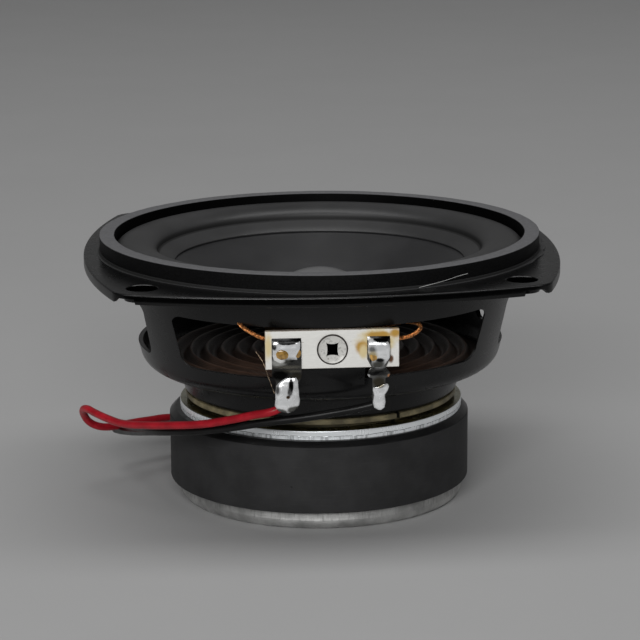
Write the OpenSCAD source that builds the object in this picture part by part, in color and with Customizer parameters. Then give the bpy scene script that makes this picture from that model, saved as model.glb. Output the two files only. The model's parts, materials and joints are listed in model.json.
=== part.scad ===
// Full-range speaker driver of the four inch class, standing on its magnet with the cone facing up.
// Millimetres, +Z up, origin under the centre of the back plate. The terminals face -Y.

/* [Magnet assembly] */
// Radius of the back plate
back_plate_r = 33.1; // [30:0.1:34]
// Thickness of the back plate
back_plate_h = 4.4; // [3.4:0.1:6]
// Radius of the lower edge of the back plate
back_plate_edge = 1.8; // [0.5:0.1:2.5]
// Radius of the ferrite ring
magnet_r = 35; // [33.5:0.1:38]
// Height of the ferrite ring
magnet_h = 15.4; // [13:0.1:20]
// Radius of the bore of the ferrite ring
magnet_bore_r = 16; // [15:0.1:19]
// How far the glued ring sits off centre, towards -X
magnet_shift = 0.45; // [0:0.05:1]
// Width of the bevel on the top edge of the ferrite ring
magnet_bevel = 1.3; // [0.3:0.1:2]
// Radius of the top plate
top_plate_r = 33; // [31.8:0.1:34]
// Thickness of the top plate
top_plate_h = 3.25; // [2.5:0.05:5]
// Radius of the pole piece
pole_r = 12.3; // [11.5:0.1:12.5]
// Radius of the spigot that is pressed into the back plate
pole_spigot_r = 9; // [6:0.1:10.5]

/* [Spacer] */
// Radius of the spacer ring under the basket
spacer_r = 31.6; // [30:0.1:31.8]
// Height of the spacer ring
spacer_h = 2.15; // [1.6:0.05:3]
// Height of the stepped-back foot of the spacer ring
spacer_foot_h = 0.95; // [0.4:0.05:1.2]
// How far the foot of the spacer ring is stepped back
spacer_step = 2.2; // [0.5:0.1:3]
// Width of the slot in the rim of the spacer ring
spacer_slot = 0.9; // [0.5:0.1:2]
// Direction of the slot, counted from the front towards +X
spacer_slot_angle = 29.5; // [0:0.5:60]

/* [Basket] */
// Height of the basket from its floor to the top of the flange
basket_h = 33.1; // [30:0.1:40]
// Thickness of the steel sheet
sheet = 1; // [0.7:0.05:1.2]
// Radius of the neck at the floor
neck_r = 32; // [31.9:0.1:33]
// Height of the spider shelf above the floor, measured outside
shelf_h = 6.3; // [5:0.1:8]
// Radius of the bowl at the shelf
bowl_r = 41.9; // [41:0.1:43]
// Outer radius of the bend at the foot of the bowl
bowl_bend = 4.5; // [3:0.1:5]
// Slope of the walls, from the vertical
wall_tilt = 14.3; // [12:0.1:15]
// Radius of the hole in the basket floor
floor_hole_r = 20; // [16:0.1:22]
// Half width of the front and back windows, in degrees
window_half = 50; // [40:0.1:52]
// Half width of the two side windows, in degrees
side_window_half = 24; // [16:0.1:26]
// How much each side of a window leans inwards towards its bottom
window_lean = 1.7; // [0.5:0.1:3]
// Bottom of the windows above the basket floor
window_low = 12.1; // [11:0.1:14]
// Height of the windows
window_h = 12.2; // [8:0.1:14]
// Corner radius at the top of a window
window_top_corner = 1.8; // [1:0.1:4]
// Corner radius at the bottom of a window
window_low_corner = 3.2; // [2:0.1:6]

/* [Flange] */
// Half the width of the flange at the middle of a side
flange_half = 54.5; // [53.5:0.1:57]
// Radius of the slightly bowed sides
side_arc = 140; // [120:1:200]
// Radius to the blunt corners
corner_r = 65.2; // [63.5:0.1:67]
// Depth of the folded rim
rim_depth = 2.2; // [1.6:0.1:4]
// Bend radius on top of the rim
rim_bend = 1.3; // [1.2:0.1:1.8]
// Width of the relief gap in the rim at each corner
rim_gap = 4; // [2:0.1:8]
// How far the relief gaps at front left and back right lie off the corner, towards the front or back
left_gap_shift = 1.4; // [0:0.1:4]
// The same for the relief gaps at front right and back left
right_gap_shift = 3.9; // [0:0.1:5]
// Diameter of the circle of mounting holes
hole_circle = 116.4; // [114:0.1:118]
// Radius of the mounting holes
hole_r = 3.4; // [2:0.05:3.6]

/* [Gasket and surround] */
// Outer radius of the gasket ring
gasket_r = 50.8; // [50:0.1:51.5]
// Inner radius of the gasket ring
gasket_bore_r = 47.4; // [47:0.1:48.5]
// Height of the gasket ring
gasket_h = 3.35; // [2:0.05:5]
// Outer radius of the surround's glued lip
lip_r = 52.3; // [51.6:0.1:53]
// Thickness of the surround's glued lip
lip_t = 0.65; // [0.4:0.05:1]
// Radius to the crest of the roll
roll_r = 42.2; // [42:0.05:42.4]
// Half the width of the roll
roll_half = 4.7; // [4:0.05:4.8]
// Height of the crest above the flange
roll_rise = 2.45; // [1.5:0.05:3.5]
// Thickness of the rubber
rubber_t = 0.5; // [0.3:0.05:0.6]
// Inner radius of the band that is glued on the cone
band_r = 33.6; // [32:0.1:36]

/* [Cone and coil] */
// Radius of the rim of the cone
cone_r = 38.2; // [37.6:0.1:38.6]
// Depth of the cone from its rim to its neck
cone_depth = 13.6; // [11:0.1:15]
// How far the neck of the cone lies below the top of the flange
cone_neck_drop = 14.5; // [13:0.1:16]
// Thickness of the cone, measured upright
cone_t = 0.7; // [0.4:0.05:1]
// Radius of the dust cap at its glued edge
cap_r = 14.2; // [13.8:0.1:17]
// Height of the dust cap
cap_h = 8.7; // [5:0.1:10]
// Thickness of the dust cap
cap_t = 0.5; // [0.3:0.05:0.8]
// Outer radius of the coil former
former_r = 12.9; // [12.8:0.05:13.1]
// Thickness of the coil former
former_t = 0.2; // [0.15:0.05:0.25]
// Build-up of the winding on the former
coil_t = 0.4; // [0.2:0.05:0.5]
// Length of the winding
coil_h = 7; // [4:0.1:9]
// Running clearance on each side of the coil
coil_gap = 0.4; // [0.35:0.05:0.6]

/* [Spider] */
// Radius of the spider's glued rim
spider_r = 37.2; // [36:0.1:37.3]
// Thickness of the pressed cloth
cloth_t = 0.5; // [0.3:0.05:0.8]
// Number of corrugations
spider_waves = 6; // [3:1:6]
// Height of each corrugation above and below the middle
spider_wave_h = 0.9; // [0.4:0.05:1]

/* [Terminals] */
// Width of the terminal board
board_w = 29; // [27:0.1:32]
// Height of the terminal board
board_h = 8.5; // [7.5:0.1:10]
// Thickness of the terminal board
board_t = 1.5; // [1:0.1:2]
// Distance of the board's back face from the axis
board_y = 44.5; // [44.3:0.1:46]
// Bottom of the board above the basket floor
board_low = 15.5; // [15:0.1:17]
// Middle of the board, off the centre line
board_x = -0.6; // [-1:0.1:1]
// Thickness of the solder lugs
lug_t = 0.5; // [0.4:0.05:0.8]
// Width of the positive lug on the board
pos_w = 6.4; // [5:0.1:7]
// Width of the positive solder tab
pos_tab_w = 4.8; // [3:0.1:5]
// Length of the positive solder tab below the board
pos_tab_l = 9; // [6:0.1:10]
// Width of the negative lug on the board
neg_w = 5; // [4:0.1:6]
// Width of the negative solder tab
neg_tab_w = 2.8; // [2:0.1:4]
// Length of the negative solder tab below the board
neg_tab_l = 8.6; // [6:0.1:10]
// Distance from the middle of the board to the positive lug
pos_x = 9.9; // [9.5:0.1:11]
// Distance from the middle of the board to the negative lug
neg_x = 10; // [9.5:0.1:11]
// Radius of the eyelet's flange
eyelet_r = 3.4; // [3:0.1:4]
// Radius of the eyelet's barrel
eyelet_barrel_r = 2; // [1.7:0.05:2.4]

/* [Leads] */
// Diameter of the insulated leads
lead_d = 1.8; // [1.4:0.1:2]
// Diameter of the tinned end of each lead
tip_d = 1; // [0.8:0.1:1.2]
// Length of the tinned end of each lead
tip_l = 6; // [3:0.5:10]
// Diameter of the braided flying leads
braid_d = 0.9; // [0.7:0.05:1]

/* [Hidden] */

// Heights of the stack, from the floor up
magnet_z = back_plate_h;
top_plate_z = magnet_z + magnet_h;
spacer_z = top_plate_z + top_plate_h;
floor_z = spacer_z + spacer_h;
shelf_z = floor_z + shelf_h;
flange_z = floor_z + basket_h;
lip_z = flange_z + lip_t;

// Clearances between pieces that move apart, and round pieces that are only pushed together
run_gap = 0.25;
push_gap = 0.05;

// The gap that the coil runs in
coil_r = former_r + coil_t;
gap_bore_r = coil_r + coil_gap;
coil_mid_z = top_plate_z + top_plate_h / 2;

// Rivets through the basket floor
rivet_circle_r = 25.5;
rivet_r = 1.6;
rivet_head_r = 2.7;
rivet_head_h = 1;
rivet_depth = top_plate_h * 0.75;
spacer_bore_r = floor_hole_r + 1.5;

// Bends of the basket wall
floor_bend = 1.5;
neck_bend = 2.6;
top_bend = 1;
bend_steps = 5;

function arc(cx, cz, r, a0, a1, n = bend_steps) =
  [for (i = [0:n]) let (a = a0 + (a1 - a0) * i / n) [cx + r * cos(a), cz + r * sin(a)]];

// Centres of the bends, each placed so that the straight wall between two bends stays at wall_tilt
floor_cx = neck_r - floor_bend;
floor_cz = floor_z + floor_bend;
neck_cz = shelf_z - neck_bend;
neck_rise = neck_cz + neck_bend * sin(wall_tilt) - floor_cz + floor_bend * sin(wall_tilt);
neck_cx = floor_cx + (floor_bend + neck_bend) * cos(wall_tilt) + neck_rise * tan(wall_tilt);
bowl_cx = bowl_r - bowl_bend;
bowl_cz = shelf_z + bowl_bend;
top_cz = flange_z - sheet - top_bend;
wall_rise = top_cz + top_bend * sin(wall_tilt) - bowl_cz + bowl_bend * sin(wall_tilt);
top_cx = bowl_cx + (bowl_bend + top_bend) * cos(wall_tilt) + wall_rise * tan(wall_tilt);

// One face of the pressed sheet, from the floor hole out to the flange, moved inwards by inset
function sheet_face(inset) = concat(
  [[floor_hole_r, floor_z + inset]],
  arc(floor_cx, floor_cz, floor_bend - inset, -90, -wall_tilt),
  arc(neck_cx, neck_cz, neck_bend + inset, 180 - wall_tilt, 90),
  arc(bowl_cx, bowl_cz, bowl_bend - inset, -90, -wall_tilt),
  arc(top_cx, top_cz, top_bend + inset, 180 - wall_tilt, 90),
  [[gasket_r, flange_z - sheet + inset]]);

function flip(points) = [for (i = [len(points) - 1:-1:0]) points[i]];

// Radius of the outside of the wall at a height
function wall_r(z) = bowl_cx + bowl_bend * cos(wall_tilt)
  + (z - bowl_cz + bowl_bend * sin(wall_tilt)) * tan(wall_tilt);

// Windows
window_z = floor_z + window_low;
window_top_z = window_z + window_h;
function top_half_w(half_angle) = wall_r(window_top_z) * sin(half_angle);
cut_in_r = neck_r * 0.6;
cut_out_r = wall_r(flange_z) + 4;

// Tongue that carries the terminal board
tongue_w = 14.5;
tongue_foot_z = window_z - 1.5;
tongue_knee_z = window_z + 2.6;
board_z = floor_z + board_low;
board_mid_z = board_z + board_h / 2;
tongue_top_z = board_mid_z + eyelet_r - 0.6;
board_front = board_y + board_t;
lug_front = board_front + lug_t;
lug_top_z = board_z + board_h - 1.5;

// Eyelet and its four-lobed mouth
eyelet_t = 0.4;
mouth_w = 2.9;
mouth_bow_r = 4;
mouth_bow_in = 0.35;

// Small prongs that hold the lugs in the board
prong_w = 2.4;
prong_z = lug_top_z - 1.4;
solder_over = 0.5;
solder_back = 1.1;
solder_depth = 2.5;
pos_mid_x = board_x - pos_x;
neg_mid_x = board_x + neg_x;

// Cone line
cone_neck_z = flange_z - cone_neck_drop;
cone_slope = cone_depth / (cone_r - former_r);
function cone_z(r) = cone_neck_z + (r - former_r) * cone_slope;
cone_collar_h = 1.8;
cone_collar_t = 0.6;

// Surround section: half a flattened roll between two glued lips
roll_in_r = roll_r - roll_half;
roll_out_r = roll_r + roll_half;
band_t = 0.4;
band_outer_z = cone_z(roll_in_r) + run_gap + band_t;
roll_steps = 12;
function roll_face(inset) = [for (i = [0:roll_steps])
  let (a = 180 * i / roll_steps, base = band_outer_z + (lip_z - band_outer_z) * i / roll_steps)
  [roll_r - (roll_half - inset) * cos(a),
   base - inset + (flange_z + roll_rise - (band_outer_z + lip_z) / 2) * sin(a)]];

// Spider section: a cosine from the glued rim down to the collar on the former
rim_land = 1.4;
shelf_top_z = shelf_z + sheet;
wave_out_r = spider_r - rim_land;
wave_in_r = former_r + run_gap + cloth_t;
wave_pitch = (wave_out_r - wave_in_r) / spider_waves;
wave_steps = 8;
collar_rise = 1.4;
function wave(r) = shelf_top_z + spider_wave_h * (1 - cos(360 * (wave_out_r - r) / wave_pitch));
function wave_face(lift) = [for (i = [0:wave_steps * spider_waves])
  let (r = wave_out_r - i * wave_pitch / wave_steps) [r, wave(r) + lift]];

// Solder anchors of the flying leads, on the back of the cone
anchor_r = 22;
anchor_angle = 25;
anchor_pad_r = 1.5;
anchor_drop = 1.6;

// Routes of the leads: red and black are free, the braided ones run from the lugs to the anchors
red_route = [
  [-11.5, -45, 32], [-14, -44.9, 31], [-17.5, -43.3, 30], [-22.5, -40.5, 28.3], [-28.5, -35.8, 26.2],
  [-35, -29, 24.2], [-41.5, -21, 22.2], [-46.5, -14, 20.8], [-50, -8.5, 20.6], [-52.8, -4.2, 20.8],
  [-54.8, -0.2, 20.8], [-55.8, 3.2, 19.6], [-55.6, 5.8, 17.6], [-54.6, 7.4, 15.6], [-52.6, 8.8, 14.1],
  [-50, 10.6, 13.3], [-47.2, 13.2, 13], [-44.2, 16.6, 12.6], [-40, 20.8, 12], [-36.6, 24.2, 11.5],
  [-33, 27.6, 10.5], [-28.5, 31.2, 8.6], [-23.5, 34.6, 6], [-18.5, 37.2, 3.4], [-13.5, 39, 1.6],
  [-8.5, 40, 1], [-3.5, 40.3, 1], [1.5, 40.2, 1], [6.5, 39.6, 1], [8.5, 39.3, 1]];
black_route = [
  [9.4, -45, 32.4], [6.5, -44.9, 31.6], [0, -43.6, 30.1], [-7.4, -42.2, 28.7], [-15, -40.2, 27.4],
  [-22.3, -37.4, 25.7], [-29.3, -32.8, 23.8], [-35.6, -26.4, 22], [-39.8, -18.3, 19.9],
  [-42, -10, 17.6], [-43.8, -1.2, 15.2], [-45.4, 7.2, 13], [-47.6, 15, 11.2], [-48.6, 19.4, 10.4],
  [-47.2, 23.2, 9.8], [-44.2, 25.8, 9.3], [-40.2, 28.4, 8.6], [-36.4, 31.2, 7.8], [-32, 34.4, 6.6],
  [-27.5, 37.6, 5], [-22.5, 40.4, 3.2], [-17.5, 42.6, 1.8], [-12.5, 44, 1.1], [-7.5, 44.8, 1],
  [-2.5, 45.1, 1], [2.5, 45, 1], [7.5, 44.4, 1], [9.5, 44, 1]];
left_braid_route = [
  [-9.3, -19.9, 45.6], [-11, -22, 44.4], [-14, -26, 44.6], [-17.4, -31, 46], [-20, -35.8, 47.8],
  [-20.8, -39.4, 48.6], [-19, -42.2, 48.2], [-16.4, -43.6, 47.4], [-13.4, -43.5, 46.5],
  [-11, -43.5, 46.1]];
right_braid_route = [
  [9.3, -19.9, 45.6], [10.6, -22, 44.4], [12.2, -26, 44.8], [13.8, -31, 46.6], [16, -36.2, 48.4],
  [18.6, -39.8, 48.7], [18.8, -42.2, 48], [16.2, -43.6, 46.8], [12.8, -43.5, 46.3],
  [10, -43.5, 46.1]];

function unit(v) = v / norm(v);
function tangent(p, i) = unit(p[min(i + 1, len(p) - 1)] - p[max(i - 1, 0)]);
function side_of(t) = unit(cross([0, 0, 1], t));

// A round tube along a route, as one closed polyhedron with square ends
module tube_along(route, r, sides = 8) {
  rings = [for (i = [0:len(route) - 1])
    let (t = tangent(route, i), s = side_of(t), u = cross(t, s))
    for (k = [0:sides - 1])
      route[i] + r * (cos(360 * k / sides) * s + sin(360 * k / sides) * u)];
  last = (len(route) - 1) * sides;
  walls = [for (i = [0:len(route) - 2], k = [0:sides - 1])
    let (a = i * sides + k, b = i * sides + (k + 1) % sides)
    each [[a, a + sides, b + sides], [a, b + sides, b]]];
  caps = [[for (k = [0:sides - 1]) k], [for (k = [sides - 1:-1:0]) last + k]];
  polyhedron(rings, concat(walls, caps), convexity = 10);
}

module ring(r_in, r_out, h) {
  rotate_extrude($fn = 160) translate([r_in, 0]) square([r_out - r_in, h]);
}

module at_four(r, start = 45) {
  for (i = [0:3]) rotate(start + 90 * i) translate([r, 0, 0]) children();
}

module back_plate() {
  e = back_plate_edge;
  bevel = 0.4;
  color([0.62, 0.62, 0.62]) rotate_extrude($fn = 160) polygon(concat(
    [[pole_spigot_r, 0]],
    arc(back_plate_r - e, e, e, -90, 0),
    [[back_plate_r, magnet_z - bevel], [back_plate_r - bevel, magnet_z], [pole_spigot_r, magnet_z]]));
}

module pole_piece() {
  bevel = 0.6;
  recess = 0.3;
  color([0.55, 0.55, 0.56]) rotate_extrude($fn = 128) polygon([
    [0, recess], [pole_spigot_r, recess], [pole_spigot_r, magnet_z], [pole_r, magnet_z],
    [pole_r, spacer_z - bevel], [pole_r - bevel, spacer_z], [0, spacer_z]]);
}

module magnet() {
  b = magnet_bevel;
  color([0.14, 0.14, 0.14]) translate([-magnet_shift, 0, magnet_z]) rotate_extrude($fn = 160) polygon([
    [magnet_bore_r, 0], [magnet_r - 0.3, 0], [magnet_r, 0.3], [magnet_r, magnet_h - b * 1.3],
    [magnet_r - b, magnet_h], [magnet_bore_r, magnet_h]]);
}

module top_plate() {
  bevel = 0.3;
  color([0.75, 0.76, 0.78]) difference() {
    translate([0, 0, top_plate_z]) rotate_extrude($fn = 160) polygon([
      [gap_bore_r, 0], [top_plate_r, 0], [top_plate_r, top_plate_h - bevel],
      [top_plate_r - bevel, top_plate_h], [gap_bore_r, top_plate_h]]);
    at_four(rivet_circle_r, 0)
      translate([0, 0, spacer_z - rivet_depth]) cylinder(h = top_plate_h, r = rivet_r, $fn = 32);
  }
}

module spacer_ring() {
  color([0.34, 0.31, 0.22]) difference() {
    translate([0, 0, spacer_z]) rotate_extrude($fn = 160) polygon([
      [spacer_bore_r, 0], [spacer_r - spacer_step, 0], [spacer_r - spacer_step, spacer_foot_h],
      [spacer_r, spacer_foot_h], [spacer_r, spacer_h], [spacer_bore_r, spacer_h]]);
    at_four(rivet_circle_r, 0)
      translate([0, 0, spacer_z - 1]) cylinder(h = spacer_h + 2, r = rivet_r, $fn = 32);
    rotate(spacer_slot_angle)
      translate([-spacer_slot / 2, -spacer_r - 1, spacer_z - 1])
        cube([spacer_slot, spacer_step + 1, spacer_h + 2]);
  }
}

module frame_rivets() {
  color([0.6, 0.6, 0.62]) at_four(rivet_circle_r, 0) translate([0, 0, floor_z + sheet])
    rotate_extrude($fn = 32) polygon(concat(
      [[0, -sheet - spacer_h - rivet_depth], [rivet_r, -sheet - spacer_h - rivet_depth],
       [rivet_r, 0], [rivet_head_r, 0]],
      arc(rivet_head_r - rivet_head_h, 0, rivet_head_h, 0, 90, 4), [[0, rivet_head_h]]));
}

// A disc with a rounded top edge, from the bottom of the rim up to top_z
module soft_disc(r, top_z, edge, fine) {
  low_z = flange_z - rim_depth;
  rotate_extrude($fn = fine) polygon(concat(
    [[0, low_z], [r, low_z]], arc(r - edge, top_z - edge, edge, 0, 90, 4), [[0, top_z]]));
}

// The bowed square of the flange, moved inwards by inset
module flange_form(inset, top_z, edge) {
  intersection() {
    flange_side(inset, top_z, edge, 0);
    flange_side(inset, top_z, edge, 90);
    flange_side(inset, top_z, edge, 180);
    flange_side(inset, top_z, edge, 270);
    soft_disc(corner_r - inset, top_z, edge, 240);
  }
}

// One bowed side: a very large disc that reaches past the other three
module flange_side(inset, top_z, edge, angle) {
  rotate(angle) translate([flange_half - side_arc, 0, 0]) soft_disc(side_arc - inset, top_z, edge, 480);
}

// The relief gap in the rim at one corner, slanted on the side away from the front
module corner_relief(shift) {
  top_z = flange_z - sheet;
  reach = corner_r - gasket_r + 2;
  translate([gasket_r, -shift, 0]) rotate([90, 0, 90]) linear_extrude(reach) polygon([
    [-rim_gap / 2, top_z], [rim_gap / 2, top_z], [rim_gap / 2 + rim_depth, top_z - rim_depth],
    [-rim_gap / 2, top_z - rim_depth]]);
}

module flange() {
  difference() {
    flange_form(0, flange_z, rim_bend);
    difference() {
      flange_form(sheet, flange_z - sheet, rim_bend - sheet);
      cylinder(h = flange_z, r = top_cx - 1, $fn = 160);
    }
    cylinder(h = flange_z + 1, r = top_cx, $fn = 160);
    for (turn = [45, 225]) rotate(turn) mirror([0, 1, 0]) corner_relief(left_gap_shift);
    for (turn = [135, 315]) rotate(turn) corner_relief(right_gap_shift);
    at_four(hole_circle / 2) {
      translate([0, 0, flange_z - 3]) cylinder(h = 6, r = hole_r, $fn = 48);
      translate([0, 0, flange_z - 0.3]) cylinder(h = 0.6, r1 = hole_r, r2 = hole_r + 0.6, $fn = 48);
    }
  }
}

// Outline of a window as seen straight on
function window_outline(top_w, low_w) = concat(
  arc(low_w - window_low_corner, window_z + window_low_corner, window_low_corner, -90, 0),
  arc(top_w - window_top_corner, window_top_z - window_top_corner, window_top_corner, 0, 90),
  arc(window_top_corner - top_w, window_top_z - window_top_corner, window_top_corner, 90, 180),
  arc(window_low_corner - low_w, window_z + window_low_corner, window_low_corner, 180, 270));

// One window, punched straight through the wall that faces -Y
module window(half_angle) {
  top_w = top_half_w(half_angle);
  rotate([90, 0, 0]) translate([0, 0, cut_in_r]) linear_extrude(cut_out_r - cut_in_r)
    polygon(window_outline(top_w, top_w - window_lean));
}

// The tongue left standing in the front window, joggled forward to carry the terminal board
module tongue() {
  foot_r = wall_r(tongue_foot_z);
  difference() {
    translate([board_x - tongue_w / 2, 0, 0]) rotate([90, 0, 90]) linear_extrude(tongue_w) polygon([
      [-foot_r + sheet / 2, tongue_foot_z], [-foot_r + 0.2, tongue_foot_z],
      [-board_y, tongue_knee_z], [-board_y, tongue_top_z], [-board_y + sheet, tongue_top_z],
      [-board_y + sheet, tongue_knee_z + 0.3], [-wall_r(window_z) + sheet, window_z]]);
    eyelet_bore();
  }
}

module eyelet_bore() {
  translate([board_x, 0, board_mid_z]) rotate([90, 0, 0])
    cylinder(h = board_front + 2, r = eyelet_barrel_r, $fn = 48);
}

module basket() {
  color([0.13, 0.13, 0.13]) {
    difference() {
      rotate_extrude($fn = 160) polygon(concat(sheet_face(0), flip(sheet_face(sheet))));
      for (turn = [0, 180]) rotate(turn) window(window_half);
      for (turn = [90, 270]) rotate(turn) window(side_window_half);
      at_four(rivet_circle_r, 0)
        translate([0, 0, floor_z - 1]) cylinder(h = sheet + 2, r = rivet_r, $fn = 32);
    }
    flange();
    tongue();
  }
}

module gasket_ring() {
  e = 0.35;
  color([0.3, 0.3, 0.3]) translate([0, 0, lip_z]) rotate_extrude($fn = 160) polygon([
    [gasket_bore_r, 0], [gasket_r, 0], [gasket_r, gasket_h - e], [gasket_r - e, gasket_h],
    [gasket_bore_r + e, gasket_h], [gasket_bore_r, gasket_h - e]]);
}

module surround() {
  color([0.22, 0.22, 0.22]) rotate_extrude($fn = 160) polygon(concat(
    [[band_r, cone_z(band_r) + run_gap], [band_r, cone_z(band_r) + run_gap + band_t]],
    roll_face(0),
    [[lip_r, lip_z], [lip_r, flange_z], [roll_out_r - rubber_t, flange_z]],
    flip([for (i = [1:roll_steps - 1]) roll_face(rubber_t)[i]]),
    [[cone_r, cone_z(cone_r) + run_gap]]));
}

module cone() {
  color([0.2, 0.2, 0.21]) rotate_extrude($fn = 160) polygon([
    [former_r, cone_neck_z - cone_collar_h], [former_r + cone_collar_t, cone_neck_z - cone_collar_h],
    [former_r + cone_collar_t, cone_z(former_r + cone_collar_t) - cone_t],
    [cone_r, cone_z(cone_r) - cone_t], [cone_r, cone_z(cone_r)], [former_r, cone_neck_z]]);
}

module dust_cap() {
  base_z = cone_z(cap_r);
  rise = cap_h;
  ball_r = (cap_r * cap_r + rise * rise) / (2 * rise);
  ball_z = base_z + rise - ball_r;
  half = asin(cap_r / ball_r);
  foot_r = cap_r - cap_t * 1.2;
  inner_half = asin(foot_r / (ball_r - cap_t));
  color([0.33, 0.33, 0.34]) rotate_extrude($fn = 128) polygon(concat(
    arc(0, ball_z, ball_r, 90 - half, 90, 12),
    arc(0, ball_z, ball_r - cap_t, 90, 90 - inner_half, 12),
    [[foot_r, cone_z(foot_r)]]));
}

module coil_former() {
  low_z = coil_mid_z - coil_h / 2 - 1;
  color([0.55, 0.4, 0.2]) translate([0, 0, low_z])
    ring(former_r - former_t, former_r, cone_neck_z + 0.8 - low_z);
}

module voice_coil() {
  color([0.7, 0.35, 0.15]) translate([0, 0, coil_mid_z - coil_h / 2]) ring(former_r, coil_r, coil_h);
}

module spider() {
  collar_r = wave_in_r - cloth_t;
  collar_z = wave(wave_in_r);
  color([0.25, 0.16, 0.1]) rotate_extrude($fn = 160) polygon(concat(
    [[spider_r, shelf_top_z]], wave_face(0),
    [[collar_r, collar_z], [collar_r, collar_z + collar_rise], [wave_in_r, collar_z + collar_rise]],
    flip(wave_face(cloth_t)), [[spider_r, shelf_top_z + cloth_t]]));
}

module lead_anchors() {
  low_z = cone_z(anchor_r) - cone_t - anchor_drop;
  color([0.45, 0.33, 0.12]) difference() {
    for (side = [-1, 1]) rotate(side * anchor_angle) translate([0, -anchor_r, low_z])
      cylinder(h = anchor_drop * 2, r = anchor_pad_r, $fn = 32);
    rotate_extrude($fn = 160) polygon([
      [former_r, cone_z(former_r) - cone_t], [cone_r, cone_z(cone_r) - cone_t],
      [cone_r, cone_z(cone_r) + 9], [former_r, cone_z(former_r) + 9]]);
  }
}

module prong_slot(x, slack) {
  translate([x - prong_w / 2 - slack, -board_front - 1, prong_z - slack])
    cube([prong_w + 2 * slack, board_t + 2, lug_t + 2 * slack]);
}

module terminal_board() {
  color([0.88, 0.87, 0.84]) difference() {
    translate([board_x - board_w / 2, -board_front, board_z]) cube([board_w, board_t, board_h]);
    eyelet_bore();
    prong_slot(pos_mid_x, push_gap);
    prong_slot(neg_mid_x, push_gap);
  }
}

// Mouth of the eyelet: a square whose sides bow inwards
module eyelet_mouth() {
  reach = mouth_w / 2 - mouth_bow_in + mouth_bow_r;
  difference() {
    square(mouth_w, center = true);
    for (turn = [0:90:270]) rotate(turn) translate([reach, 0]) circle(mouth_bow_r, $fn = 64);
  }
}

module board_eyelet() {
  grip = board_t + sheet;
  set_r = eyelet_barrel_r + 0.9;
  color([0.72, 0.72, 0.7]) translate([board_x, -board_front, board_mid_z]) rotate([90, 0, 0])
    difference() {
      union() {
        cylinder(h = eyelet_t, r = eyelet_r, $fn = 64);
        translate([0, 0, -grip]) cylinder(h = grip, r = eyelet_barrel_r, $fn = 48);
        translate([0, 0, -grip - eyelet_t]) cylinder(h = eyelet_t, r = set_r, $fn = 48);
      }
      translate([0, 0, -grip - 1]) linear_extrude(grip + eyelet_t + 2) eyelet_mouth();
    }
}

// A lug: a plate on the face of the board, a solder tab below it and a clinched prong behind
module lug(x, plate_w, plate_low_z, tab_w, tab_l) {
  clinch = 1.4;
  translate([x - plate_w / 2, -lug_front, plate_low_z]) cube([plate_w, lug_t, lug_top_z - plate_low_z]);
  translate([x - tab_w / 2, -lug_front, board_z - tab_l]) cube([tab_w, lug_t, tab_l + 0.5]);
  translate([x - prong_w / 2, -board_front, prong_z]) cube([prong_w, board_t, lug_t]);
  translate([x - prong_w / 2, -board_y, prong_z - clinch + lug_t]) cube([prong_w, lug_t, clinch]);
}

module positive_lug() {
  color([0.7, 0.7, 0.68]) lug(pos_mid_x, pos_w, board_z - 1.2, pos_tab_w, pos_tab_l);
}

module negative_lug() {
  wing_h = 1.8;
  color([0.7, 0.7, 0.68]) {
    lug(neg_mid_x, neg_w, board_z, neg_tab_w, neg_tab_l);
    translate([neg_mid_x - neg_w / 2, -lug_front, board_z - wing_h - 0.4]) cube([neg_w, lug_t, wing_h]);
  }
}

// A rounded bead of solder: its outline from the front, rounded off towards the front and the back
module solder_bead(outline, x, low_z, h, back_y, depth) {
  r = depth * 0.4;
  translate([x, 0, low_z]) intersection() {
    translate([0, back_y, 0]) rotate([90, 0, 0]) linear_extrude(depth) polygon(outline);
    translate([-10, 0, 0]) rotate([90, 0, 90]) linear_extrude(20) polygon(concat(
      arc(r - depth + back_y, r, r, 180, 270), arc(back_y - r, r, r, 270, 360),
      arc(back_y - r, h - r, r, 0, 90), arc(r - depth + back_y, h - r, r, 90, 180)));
  }
}

// Outline of a bead that wraps a tab, uneven as it set
function bead_outline(w, h) = [
  [-0.3 * w, 0], [0.25 * w, 0], [0.46 * w, 0.1 * h], [0.5 * w, 0.3 * h], [0.43 * w, 0.5 * h],
  [0.5 * w, 0.72 * h], [0.44 * w, h], [-0.42 * w, h], [-0.5 * w, 0.84 * h], [-0.45 * w, 0.6 * h],
  [-0.5 * w, 0.35 * h], [-0.45 * w, 0.12 * h]];

// The bead that wraps the end of a solder tab
module tab_solder(x, tab_w, tab_l, h) {
  low_z = board_z - tab_l - solder_over;
  w = tab_w + 3 * solder_over;
  difference() {
    solder_bead(bead_outline(w, h), x, low_z, h, -board_front + solder_back, solder_depth);
    translate([x - tab_w / 2, -lug_front, low_z + solder_over]) cube([tab_w, lug_t, h]);
  }
}

module positive_solder() {
  color([0.78, 0.78, 0.78]) tab_solder(pos_mid_x, pos_tab_w, pos_tab_l, 6.5);
}

// The negative tab is tinned at its end, and a second bead covers the lug on the board
module negative_solder() {
  low_z = board_z + 0.3;
  h = lug_top_z - low_z - 0.2;
  color([0.78, 0.78, 0.78]) {
    tab_solder(neg_mid_x, neg_tab_w, neg_tab_l, 4.5);
    solder_bead(bead_outline(neg_w - 0.4, h), neg_mid_x, low_z, h, -lug_front, 0.9);
  }
}

module left_flying_lead() {
  color([0.75, 0.42, 0.2]) tube_along(left_braid_route, braid_d / 2);
}

module right_flying_lead() {
  color([0.75, 0.42, 0.2]) tube_along(right_braid_route, braid_d / 2);
}

module red_lead() {
  color([0.6, 0.1, 0.13]) tube_along(red_route, lead_d / 2);
}

module black_lead() {
  color([0.06, 0.06, 0.06]) tube_along(black_route, lead_d / 2);
}

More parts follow.
